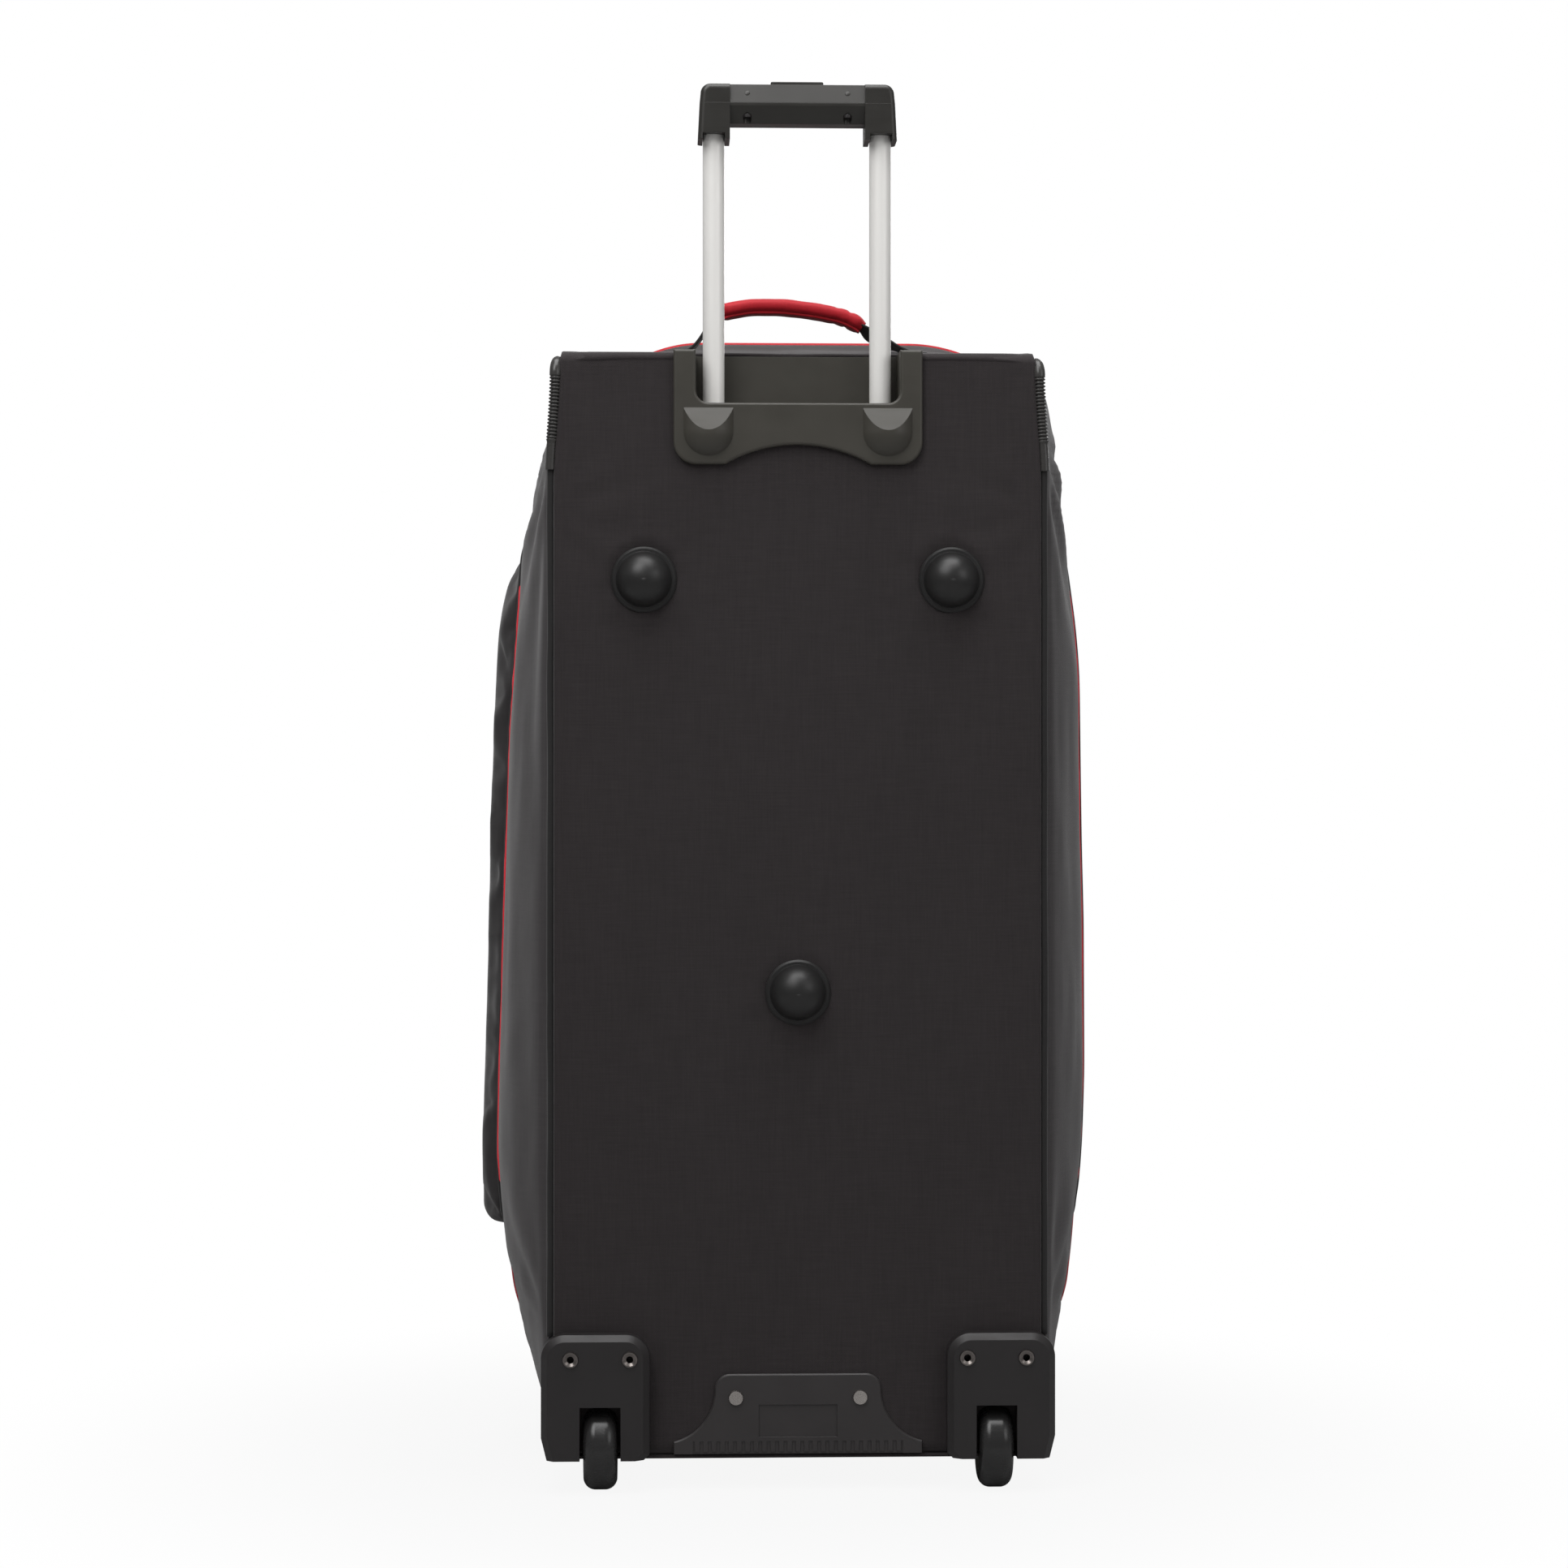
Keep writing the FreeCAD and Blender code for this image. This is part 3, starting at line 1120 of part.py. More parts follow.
def wheel():
    """Tyre, hub and bearings, with the rounded tread of a skate wheel."""
    half = "(wheel_wide / 2)"
    bore = "(axle_dia / 2 + run_clear)"
    hub = "(hub_dia / 2)"
    seat = "(bearing_dia / 2)"
    rim = "(wheel_dia / 2)"
    shoulder = "(shoulder_dia / 2)"
    drop = f"({rim} - {shoulder})"
    side = f"({half} - tread_flat)"
    crown = f"(({side} ^ 2 + {drop} ^ 2) / (2 * {drop}))"
    tyre = [(f"-{half}", hub), (f"-{half}", shoulder, crown, "right"), ("-tread_flat", rim),
            ("tread_flat", rim, crown, "right"), (half, shoulder), (half, hub)]
    finish_pair("tyre", compound("tyre_at_place", [turned_x("tyre_body", tyre)]))
    web = f"({half} - bearing_wide)"
    core = [(f"-{half}", seat), (f"-{half}", hub), (half, hub), (half, seat), (web, seat),
            (web, f"{seat} - 2"), (f"-{web}", f"{seat} - 2"), (f"-{web}", seat)]
    finish_pair("wheel_hub", compound("hub_at_place", [turned_x("hub_body", core)]))
    bearings = []
    for number, (start, end) in enumerate(((f"-{half}", f"-{web}"), (web, half))):
        race = rectangle(start, end, bore, seat)
        bearings.append(turned_x(f"bearing_{number}_body", race))
    finish_pair("wheel_bearings", compound("bearing_pair", bearings))


def axle():
    """The bolt through housing and wheel, with head, nut and washers."""
    half_slot = "(slot_wide / 2)"
    end = f"({half_slot} + 2 * axle_head_thick)"
    pin = [(f"-{end}", "0"), (end, "0"), (end, "axle_dia / 2"), (f"-{end}", "axle_dia / 2")]
    finish_pair("wheel_axle", compound("axle_at_place", [turned_x("axle_body", pin)]))
    washers = []
    inner = "(wheel_wide / 2 + washer_gap)"
    for number, (start, stop) in enumerate(((f"-{half_slot}", f"-{inner}"), (inner, half_slot))):
        disc = rectangle(start, stop, "axle_dia / 2 + fit_clear", "washer_dia / 2")
        washers.append(turned_x(f"washer_{number}_body", disc))
    finish_pair("axle_washers", compound("washer_pair", washers))


def housing_rivets():
    """The hollow rivets in each housing's face."""
    items = []
    for number, sign in enumerate(("+", "-")):
        body = new_body(f"housing_rivet_{number}")
        hollow = "(rivet_bore / 2)"
        rim = "rivet_dia / 2 - rivet_rim / 2"
        corners = [(hollow, "-rivet_dish"), (f"{rim} - rivet_rim", "-rivet_head"), (rim, "-rivet_head"),
                   ("rivet_dia / 2", "0"),
                   ("rivet_shank / 2", "0"), ("rivet_shank / 2", "rivet_long"), (hollow, "rivet_long")]
        revolve(body, draw(sketch_on(body, f"housing_rivet_half_{number}", "XY"), corners), "V_Axis")
        set_place(body, x=f"wheel_x {sign} rivet_pitch", y="-house_proud", z="rivet_z")
        items.append(body)
    finish_pair("housing_rivets", compound("housing_rivet_pair", items))


# Kick plate, feet and grab handle ---------------------------------------------------------

def kick_plate():
    """The scuff plate between the wheels, with flared sides and a recessed panel."""
    body = new_body("kick_body")
    skirt = "(kick_low + kick_skirt)"
    shoulder = "(kick_high - kick_corner)"
    out = "(kick_half - kick_shoulder)"
    flare = f"({out} ^ 2 + ({shoulder} - {skirt}) ^ 2) / (2 * {out})"
    corners = [
        ("-kick_half", "kick_low"), ("kick_half", "kick_low"), ("kick_half", skirt, flare, "right"),
        ("kick_shoulder", shoulder, "kick_corner", "left"), ("kick_shoulder - kick_corner", "kick_high"),
        ("-(kick_shoulder - kick_corner)", "kick_high", "kick_corner", "left"),
        ("-kick_shoulder", shoulder, flare, "right"), ("-kick_half", skirt),
    ]
    plate = pad(body, draw(sketch_on(body, "kick", "XZ", "-kick_thick"), corners), "kick_thick", reverse=True)
    face = lies_at("y", "-kick_thick")
    low = value(skirt)
    dress(body, "Chamfer", plate, "kick_thick / 4", lambda edge: face(edge) and edge.CenterOfMass.z > low)
    panel = rectangle("-panel_half", "panel_half", "panel_low", "panel_high")
    pocket(body, draw(sketch_on(body, "panel", "XZ", "-kick_thick"), panel), "panel_sunk")
    count = int(value("rib_count"))
    comb = []
    for number in range(count):
        middle = f"({number} - (rib_count - 1) / 2) * rib_pitch"
        comb += [(f"{middle} - rib_wide / 2", "rib_high"), (f"{middle} - rib_wide / 2", "rib_low"),
                 (f"{middle} + rib_wide / 2", "rib_low"), (f"{middle} + rib_wide / 2", "rib_high")]
    end = "((rib_count - 1) / 2 * rib_pitch + rib_pitch / 2)"
    comb += [(end, "rib_high"), (end, "kick_low - 1"), (f"-{end}", "kick_low - 1"), (f"-{end}", "rib_high")]
    pocket(body, draw(sketch_on(body, "ribs", "XZ", "-kick_thick"), comb), "rib_sunk")
    holes = sketch_on(body, "kick_holes", "XZ", "-kick_thick")
    for x in ("kick_rivet_x", "-kick_rivet_x"):
        draw_circle(holes, x, "kick_rivet_z", "kick_rivet_shank + 2 * fit_clear")
    pocket(body, holes, "kick_thick")
    finish("kick_plate", body)


def kick_rivets():
    """Two flat rivets through kick plate and back panel into the tube bracket."""
    items = []
    for side in ("", "-"):
        name = "kick_rivet_left" if side else "kick_rivet_right"
        body = new_body(name)
        length = "(kick_thick + back_thick + bracket_wall)"
        corners = [("0", "-rivet_head"), ("kick_rivet_dia / 2 - 0.6", "-rivet_head"),
                   ("kick_rivet_dia / 2", "0"), ("kick_rivet_shank / 2", "0"),
                   ("kick_rivet_shank / 2", length), ("0", length)]
        revolve(body, draw(sketch_on(body, name + "_half", "XY"), corners), "V_Axis")
        set_place(body, x=f"{side}kick_rivet_x", y="-kick_thick", z="kick_rivet_z")
        items.append(body)
    finish("kick_plate_rivets", compound("kick_rivet_pair", items))


def dome_feet():
    """Three domes that keep the back panel off the floor when the bag lies down."""
    items = []
    places = (("dome_x", "dome_z"), ("-dome_x", "dome_z"), ("0", "dome_low_z"))
    for number, (x, z) in enumerate(places):
        body = new_body(f"dome_{number}")
        radius = "(dome_dia / 2)"
        height = "(dome_high - flange_thick)"
        crown = f"(({radius} ^ 2 + {height} ^ 2) / (2 * {height}))"
        corners = [("0", "0"), ("flange_dia / 2", "0"), ("flange_dia / 2", "-flange_thick / 2"),
                   ("flange_dia / 2 - flange_thick / 2", "-flange_thick"), (radius, "-flange_thick", crown, "right"),
                   ("0", "-dome_high")]
        revolve(body, draw(sketch_on(body, f"dome_half_{number}", "XY"), corners), "V_Axis")
        set_place(body, x=x, z=z)
        items.append(body)
    finish("dome_feet", compound("dome_trio", items))


def stand_feet():
    """The two moulded feet at the front that the bag stands on together with its wheels."""
    body = new_body("stand_body")
    left = "stand_x - stand_wide / 2"
    right = "stand_x + stand_wide / 2"
    back = "stand_y - stand_long / 2"
    front = "stand_y + stand_long / 2"
    loft(body, "Additive", [
        draw(sketch_on(body, "stand_sole", "XY", "0"),
             rounded(f"({left} + stand_taper)", f"({right} - stand_taper)", f"({back} + stand_taper)",
                     f"({front} - stand_taper)", "(stand_taper)")),
        draw(sketch_on(body, "stand_head", "XY", "back_low"),
             rounded(f"({left})", f"({right})", f"({back})", f"({front})", "(stand_taper)")),
    ])
    finish_pair("stand_foot", body)


def arch_corners(inset, half):
    """Outline of a band along the grab handle's arch; inset is (outside, inside)."""
    outer = f"({GRAB_RADIUS} - ({inset[0]}))"
    inner = f"({GRAB_RADIUS} - ({inset[1]}))"

    def height(arc):
        return f"{GRAB_CENTRE} + sqrt({arc} ^ 2 - ({half}) ^ 2)"
    lower = [(f"-({half})", height(inner), inner, "right"), (half, height(inner))]
    upper = [(half, height(outer), outer, "left"), (f"-({half})", height(outer))]
    return lower + upper


def place_on_top(item):
    """Tilts a piece that is drawn on Z = 0 onto the sloping top end."""
    slope = math.degrees(math.atan((value("front_top") - value("back_top")) / value("side_deep")))
    item.Placement = FreeCAD.Placement(Vector(), FreeCAD.Rotation(Vector(1, 0, 0), slope))
    set_place(item, y="grab_y", z=top_at("grab_y"))


def grab_handle():
    """Webbing strap with a padded wrap, sewn to the top end by a tab at each end."""
    strap = new_body("strap_body")
    inner = f"({GRAB_RADIUS} - strap_thick)"
    inner_foot = f"sqrt({inner} ^ 2 - {GRAB_CENTRE} ^ 2)"
    outer_foot = f"sqrt({GRAB_RADIUS} ^ 2 - (strap_thick - {GRAB_CENTRE}) ^ 2)"
    end = f"({outer_foot} + grab_tab)"
    corners = [
        (f"-{end}", "0"), (f"-{inner_foot}", "0", inner, "right"), (inner_foot, "0"), (end, "0"),
        (end, "strap_thick"), (outer_foot, "strap_thick", GRAB_RADIUS, "left"),
        (f"-{outer_foot}", "strap_thick"), (f"-{end}", "strap_thick"),
    ]
    pad(strap, draw(sketch_on(strap, "strap", "XZ", "-strap_wide / 2"), corners), "strap_wide", reverse=True)
    place_on_top(strap)
    finish("grab_handle_strap", compound("strap_at_place", [strap]))
    wrap = new_body("wrap_body")
    padding = "((wrap_thick - strap_thick) / 2)"
    outline = arch_corners((f"-{padding}", f"strap_thick + {padding}"), "wrap_half")
    sleeve = pad(wrap, draw(sketch_on(wrap, "wrap", "XZ", "-wrap_wide / 2"), outline), "wrap_wide", reverse=True)
    slot = arch_corners(("-wrap_clear", "strap_thick + wrap_clear"), "wrap_half + 1")
    hole = new_body("wrap_slot")
    pad(hole, draw(sketch_on(hole, "slot_outline", "XZ", "-strap_wide / 2 - wrap_clear"), slot),
        "strap_wide + 2 * wrap_clear", reverse=True)
    doc.recompute()
    long_edges = [lies_at("y", "-wrap_wide / 2"), lies_at("y", "wrap_wide / 2")]
    wide = value("wrap_half") - 1e-3
    dress(wrap, "Fillet", sleeve, f"{padding} - 1",
          lambda edge: any(test(edge) for test in long_edges)
          and abs(edge.CenterOfMass.x) < wide and edge.Length > value("wrap_thick") + 1)
    tube = cut("wrap_cut", wrap, hole)
    place_on_top(tube)
    finish("grab_handle_wrap", compound("wrap_at_place", [tube]))


def build():
    fill_sheet()
    outer = bag_form("bag_outer", "0", "0")
    fabric_walls(outer)
    front_panel()
    front_seam_piping()
    lid()
    zip_chain()
    zip_slider()
    side_pockets(outer)
    pocket_piping(outer)
    edge_piping(outer)
    corner_guards(outer)
    base_board()
    handle_well()
    outer_tubes()
    tube_collars()
    tube_bracket()
    inner_tubes()
    slider_feet()
    lock_pins()
    grip_lower_shell()
    grip_upper_shell()
    grip_screws()
    release_button()
    wheel_housing()
    wheel()
    axle()
    housing_rivets()
    kick_plate()
    kick_rivets()
    dome_feet()
    stand_feet()
    grab_handle()
    doc.recompute()


def check():
    """Stops with the names of every object that failed and every unsound shape."""
    failed = [item.Name for item in doc.Objects if {"Invalid", "Error"} & set(item.State)]
    for node, item in NODES.items():
        if item.Shape.isNull() or not item.Shape.isValid() or not item.Shape.Solids:
            failed.append(node)
    if failed:
        raise RuntimeError(f"failed: {failed}")


def export():
    os.makedirs("parts", exist_ok=True)
    for node, item in NODES.items():
        item.Shape.exportStep(f"parts/{node}.step")


build()
check()
export()
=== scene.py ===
"""Looks of the rolling duffel bag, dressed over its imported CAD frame.

The CAD keeps the moulded and metal pieces. Every fabric piece is rebuilt here as soft goods.
Sizes are in millimetres in the bag's own frame: X to the right along the back panel, Y from
the back panel's outer face towards the front, Z up from the floor.
"""
import math

import bpy
import numpy as np
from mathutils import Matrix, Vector, noise


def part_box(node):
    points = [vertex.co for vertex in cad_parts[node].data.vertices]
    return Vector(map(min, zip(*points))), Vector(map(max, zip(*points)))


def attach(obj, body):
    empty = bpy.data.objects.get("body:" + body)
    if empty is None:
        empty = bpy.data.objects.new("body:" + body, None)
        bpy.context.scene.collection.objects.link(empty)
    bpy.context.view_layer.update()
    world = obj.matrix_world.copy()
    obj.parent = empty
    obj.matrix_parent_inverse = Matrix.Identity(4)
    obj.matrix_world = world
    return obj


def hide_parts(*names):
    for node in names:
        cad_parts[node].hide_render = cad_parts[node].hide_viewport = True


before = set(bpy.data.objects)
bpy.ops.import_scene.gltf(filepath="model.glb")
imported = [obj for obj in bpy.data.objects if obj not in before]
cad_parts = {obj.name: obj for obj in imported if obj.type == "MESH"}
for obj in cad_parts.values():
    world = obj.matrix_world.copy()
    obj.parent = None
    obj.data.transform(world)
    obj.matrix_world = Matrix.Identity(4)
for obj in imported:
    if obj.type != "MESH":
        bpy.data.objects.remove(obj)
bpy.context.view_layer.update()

MM = 0.001
BACK_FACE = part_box("back_panel")[0].y


def span(node):
    """A CAD node's lowest and highest corner in the bag's frame, in millimetres."""
    low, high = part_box(node)
    return ((np.array(low) - (0, BACK_FACE, 0)) / MM, (np.array(high) - (0, BACK_FACE, 0)) / MM)


def to_frame(points):
    """From the bag's frame in millimetres to the model's frame in metres."""
    return np.asarray(points, float) * MM + (0, BACK_FACE, 0)


# The bag's main sizes, read from the CAD
BACK_LOW, BACK_TOP = span("back_panel")[0][2], span("back_panel")[1][2]
BACK_HALF = span("back_panel")[1][0]
SEAM_Y = span("right_side_panel")[1][1]
SEAM_WIDE = span("front_seam_piping")[1][1] - SEAM_Y
SEAM_PROUD = 2.5
FRONT_TOP = span("front_seam_piping")[1][2] - SEAM_PROUD
FACE_Y = span("front_panel")[1][1]
FRONT_MOST = span("lid_panel")[1][1]
HINGE_Z = span("lid_panel")[0][2]
END_HALF = span("top_end_panel")[1][0]
WELL_HIGH = span("handle_well")[1]
GUARD_LOW = span("right_corner_guard")[0][2]
HOUSE_HIGH = span("right_wheel_housing")[1][2]
POCKET_LOW, POCKET_HIGH = span("right_side_pocket")
# The opening that the cloth leaves for the handle well: half its width, and its depth below the well's top
TRAY_HALF, TRAY_DEEP = 76.6, 45.5
CLOTH_THICK = 2.5
SIDES = ((1, "right"), (-1, "left"))


# Plain helpers ----------------------------------------------------------------------------

def ease(value, low=0.0, high=1.0):
    """Smooth step from 0 at low to 1 at high."""
    part = np.clip((np.asarray(value, float) - low) / (high - low), 0, 1)
    return part * part * (3 - 2 * part)


def smooth_table(rows, width):
    """A smooth function through (place, value) rows, rounded over a width."""
    places, values = np.array(rows, float).T
    fine = np.arange(places[0] - 2 * width, places[-1] + 2 * width)
    level = np.interp(fine, places, values)
    window = np.ones(int(width)) / int(width)
    for _ in range(2):
        padded = np.pad(level, int(width), mode="edge")
        level = np.convolve(padded, window, mode="same")[int(width):-int(width)]
    return lambda place: np.interp(place, fine, level)


def noise_at(points, scale, seed=0.0, octaves=2):
    """Smooth noise from -1 to 1 at points, with features about scale millimetres wide."""
    points = np.asarray(points, float)
    scale = np.broadcast_to(scale, 3)
    flat = points.reshape(-1, 3) / scale + seed
    values = [noise.fractal(Vector(p), 1.0, 2.0, octaves) for p in flat]
    return np.array(values).reshape(points.shape[:-1])


def grid_normals(grid):
    """The unit normal at each point of a grid."""
    down, across = np.gradient(grid, axis=0), np.gradient(grid, axis=1)
    normal = np.cross(across, down)
    return normal / np.maximum(np.linalg.norm(normal, axis=2, keepdims=True), 1e-9)


def new_object(name, points, faces, smooth=True):
    """A mesh object from points in the bag's frame."""
    mesh = bpy.data.meshes.new(name)
    mesh.from_pydata(to_frame(points).tolist(), [], faces)
    mesh.update()
    mesh.polygons.foreach_set("use_smooth", [smooth] * len(mesh.polygons))
    obj = bpy.data.objects.new(name, mesh)
    bpy.context.scene.collection.objects.link(obj)
    return obj


def quads(rows, columns, closed=False, offset=0, flip=False):
    """Faces of a grid; closed joins the last column to the first."""
    faces = []
    for row in range(rows - 1):
        for column in range(columns if closed else columns - 1):
            after = (column + 1) % columns
            face = [row * columns + column, row * columns + after,
                    (row + 1) * columns + after, (row + 1) * columns + column]
            faces.append([offset + index for index in (reversed(face) if flip else face)])
    return faces


def sheet_object(name, grid, closed=False, drop=None, flip=False):
    """A sheet through a grid of points; drop(centre) says which faces are left out."""
    grid = np.asarray(grid, float)
    points = grid.reshape(-1, 3)
    faces = quads(grid.shape[0], grid.shape[1], closed, flip=flip)
    if drop:
        faces = [face for face in faces if not drop(points[face].mean(axis=0))]
        used = sorted({index for face in faces for index in face})
        renumber = {index: place for place, index in enumerate(used)}
        points = points[used]
        faces = [[renumber[index] for index in face] for face in faces]
    return new_object(name, points, faces)


def baked(obj):
    """Applies the object's modifiers."""
    bpy.context.view_layer.update()
    graph = bpy.context.evaluated_depsgraph_get()
    mesh = bpy.data.meshes.new_from_object(obj.evaluated_get(graph))
    obj.modifiers.clear()
    obj.data = mesh
    return obj


def thicken(obj, thickness):
    """Gives a sheet its thickness, grown against its normals."""
    modifier = obj.modifiers.new("thickness", "SOLIDIFY")
    modifier.thickness = thickness * MM
    modifier.offset = -1
    modifier.use_even_offset = False
    return baked(obj)


def subdivide(obj, levels=1):
    """Smooths a mesh by subdivision."""
    modifier = obj.modifiers.new("subdivision", "SUBSURF")
    modifier.levels = levels
    modifier.render_levels = levels
    return baked(obj)


def resampled(line, count):
    """A polyline with count points at even spacing."""
    line = np.asarray(line, float)
    steps = np.linalg.norm(np.diff(line, axis=0), axis=1)
    along = np.concatenate([[0], np.cumsum(steps)])
    places = np.linspace(0, along[-1], count)
    return np.stack([np.interp(places, along, line[:, axis]) for axis in range(line.shape[1])], 1)


def rounded_path(points, count=200, passes=40):
    """A smooth curve near the given points."""
    line = resampled(points, count)
    for _ in range(passes):
        line[1:-1] = (line[:-2] + 2 * line[1:-1] + line[2:]) / 4
    return resampled(line, count)


def path_frames(path, up, closed=False):
    """Tangent, side and up directions along a path."""
    if closed:
        tangent = np.roll(path, -1, axis=0) - np.roll(path, 1, axis=0)
    else:
        tangent = np.gradient(path, axis=0)
    tangent /= np.maximum(np.linalg.norm(tangent, axis=1, keepdims=True), 1e-9)
    up = np.broadcast_to(np.asarray(up, float), path.shape)
    side = np.cross(tangent, up)
    side /= np.maximum(np.linalg.norm(side, axis=1, keepdims=True), 1e-9)
    return tangent, side, np.cross(side, tangent)


def sweep(name, path, profile, up=(0, 0, 1), scale=None, closed=False):
    """A profile of (side, up) points carried along a path, with closed ends."""
    path, profile = np.asarray(path, float), np.asarray(profile, float)
    side, over = path_frames(path, up, closed)[1:]
    scale = np.ones(len(path)) if scale is None else np.asarray(scale, float)
    if scale.ndim == 1:
        scale = np.stack([scale, scale], 1)
    rings = (path[:, None]
             + side[:, None] * (profile[None, :, :1] * scale[:, None, :1])
             + over[:, None] * (profile[None, :, 1:] * scale[:, None, 1:]))
    rows, columns = rings.shape[:2]
    points = rings.reshape(-1, 3)
    faces = quads(rows, columns, True)
    last = (rows - 1) * columns
    if closed:
        faces += [[last + c, last + (c + 1) % columns, (c + 1) % columns, c] for c in range(columns)]
    else:
        faces += [list(range(columns))[::-1], [last + c for c in range(columns)]]
    return new_object(name, points, faces)


def closed_ring(outline, count):
    """Evenly spaced points round a closed outline."""
    return resampled(np.vstack([outline, outline[:1]]), count + 1)[:-1]


def circle(radius, count=12):
    """A round profile."""
    angles = np.linspace(0, 2 * math.pi, count, endpoint=False)
    return np.stack([radius * np.cos(angles), radius * np.sin(angles)], 1)


def flat_oval(wide, high, count=28, power=3.0):
    """A flattened profile with rounded edges."""
    angles = np.linspace(0, 2 * math.pi, count, endpoint=False)
    across, over = np.cos(angles), np.sin(angles)
    return np.stack([wide / 2 * np.sign(across) * np.abs(across) ** (2 / power),
                     high / 2 * np.sign(over) * np.abs(over) ** (2 / power)], 1)


def stitches(name, path, normal, length=2.6, pitch=3.6, thick=0.55):
    """A row of thread stitches lying along a path on a surface."""
    path = np.asarray(path, float)
    total = np.linalg.norm(np.diff(path, axis=0), axis=1).sum()
    count = max(int(total / pitch), 2)
    line = resampled(path, 2 * count + 1)[1::2]
    ups = resampled(np.broadcast_to(np.asarray(normal, float), path.shape), 2 * count + 1)[1::2]
    tangent, side, over = path_frames(line, ups)
    points, faces = [], []
    stations = ((-0.5, 0.25, -0.3), (-0.3, 1.0, 0.5), (0.3, 1.0, 0.5), (0.5, 0.25, -0.3))
    for centre, along, across, out in zip(line, tangent, side, over):
        base = len(points)
        for place, fat, lift in stations:
            middle = centre + along * place * length + out * lift * thick
            for turn in range(4):
                angle = math.pi / 4 + turn * math.pi / 2
                points.append(middle + (across * math.cos(angle) + out * math.sin(angle)) * thick / 2 * fat)
        faces += quads(4, 4, True, base)
        faces += [[base, base + 3, base + 2, base + 1], [base + 12, base + 13, base + 14, base + 15]]
    return new_object(name, points, faces)


# The bag's shape --------------------------------------------------------------------------

# Half widths by height on the left and on the right, where the sides have flared out and at the front seam
LEFT_FLARE = smooth_table([
    (25, 184), (60, 186), (75, 189), (99, 195), (125, 202), (147, 206.5), (166, 210), (200, 214), (235, 216),
    (310, 214.5), (426, 211), (542, 207), (612, 202), (664, 198.5), (684, 196.5), (702, 191), (723, 187),
    (745, 181), (780, 174), (815, 171), (860, 168)], 16)
RIGHT_FLARE = smooth_table([
    (25, 184), (60, 186), (75, 188), (99, 192), (124, 196), (147, 200.5), (171, 204), (195, 207.5),
    (219, 210), (243, 211.5), (290, 213), (400, 212.5), (460, 211), (532, 210), (580, 209.5), (604, 208),
    (628, 205.5), (652, 202), (676, 199), (700, 196), (724, 194), (748, 190), (772, 185), (797, 180),
    (860, 174)], 20)
LEFT_FRONT = smooth_table([
    (25, 210), (92, 211), (118, 213.5), (135, 216.5), (190, 221), (261, 225), (400, 226), (520, 220),
    (600, 211), (660, 203), (715, 195), (767, 188), (818, 182), (860, 177)], 26)
RIGHT_FRONT = smooth_table([
    (25, 222), (79, 223), (105, 224), (131, 227.5), (170, 230.5), (261, 234.5), (400, 236), (546, 233),
    (660, 221), (744, 210), (785, 204), (860, 192)], 30)
EDGE_IN = 4.0
FLARED_DEPTH = 100
SIDE_SAG = 6
TOP_SKEW = 14
TOP_SAG = 5.0


def edge_half(height):
    """The back panel's half width, which narrows beside the corner guards."""
    return BACK_HALF - EDGE_IN * ease(height, 715, 800)


def half_width(height, depth, side):
    """The bag's half width on one side: it flares out behind the back panel, then sags to the front seam."""
    near, far = (RIGHT_FLARE, RIGHT_FRONT) if side > 0 else (LEFT_FLARE, LEFT_FRONT)
    depth = np.asarray(depth, float)
    rise = 1 - (1 - np.clip(depth / FLARED_DEPTH, 0, 1)) ** 1.9
    onward = np.clip((depth - FLARED_DEPTH) / (SEAM_Y - FLARED_DEPTH), 0, 1)
    width = near(height) * (1 - onward) + far(height) * onward
    sag = SIDE_SAG * np.sin(math.pi * onward) * ease(height, 90, 160) * ease(height, 740, 680)
    narrow = edge_half(height)
    return narrow + (width - narrow) * rise - sag


def top_height(depth):
    """Height of the top, which rises from the back panel to the front seam."""
    return BACK_TOP + (FRONT_TOP - BACK_TOP) * np.clip(depth / SEAM_Y, 0, 1.2)


# Corner radii of the bag's section at five depths, at the bottom and at the top
TURN_DEPTHS = (0, 20, 45, 92, SEAM_Y)
LOW_TURNS = (12, 32, 50, 65, 88)
TOP_TURNS = (10, 22, 36, 56, 98)


def half_outline(depth, side):
    """One half of the section at a depth, from bottom middle to top middle."""
    low_turn = np.interp(depth, TURN_DEPTHS, LOW_TURNS)
    turn = np.interp(depth, TURN_DEPTHS, TOP_TURNS)
    low, high = BACK_LOW, top_height(depth)
    wide = BACK_HALF
    angle = np.linspace(0, math.pi / 2, 40)
    bottom = np.stack([np.linspace(0, wide - low_turn, 60), np.full(60, low)], 1)
    lower = np.stack([wide - low_turn + low_turn * np.sin(angle),
                      low + low_turn - low_turn * np.cos(angle)], 1)
    straight = np.stack([np.full(400, wide), np.linspace(low + low_turn, high - turn, 400)], 1)
    upper = np.stack([wide - turn + turn * np.cos(angle), high - turn + turn * np.sin(angle)], 1)
    top = np.stack([np.linspace(wide - turn, 0, 60), np.full(60, high)], 1)
    line = np.concatenate([bottom, lower[1:], straight[1:], upper[1:], top[1:]])
    line[:, 0] *= half_width(line[:, 1], depth, side) / wide
    skew = TOP_SKEW * ease(line[:, 1], 690, 850) * np.clip((depth - 20) / 280, 0, 1)
    return np.stack([line[:, 0] * side + skew, line[:, 1]], 1)


def split_outline(depth, side, counts=(30, 150, 30)):
    """The half section in three runs: bottom end, side and top end, cut at the end panels' seams."""
    line = half_outline(depth, side)
    outside = np.abs(line[:, 0]) > END_HALF
    first = np.argmax(outside)
    last = len(line) - 1 - np.argmax(outside[::-1])
    runs = (line[:first + 1], line[first:last + 1], line[last:])
    return [resampled(run, count) for run, count in zip(runs, counts)]


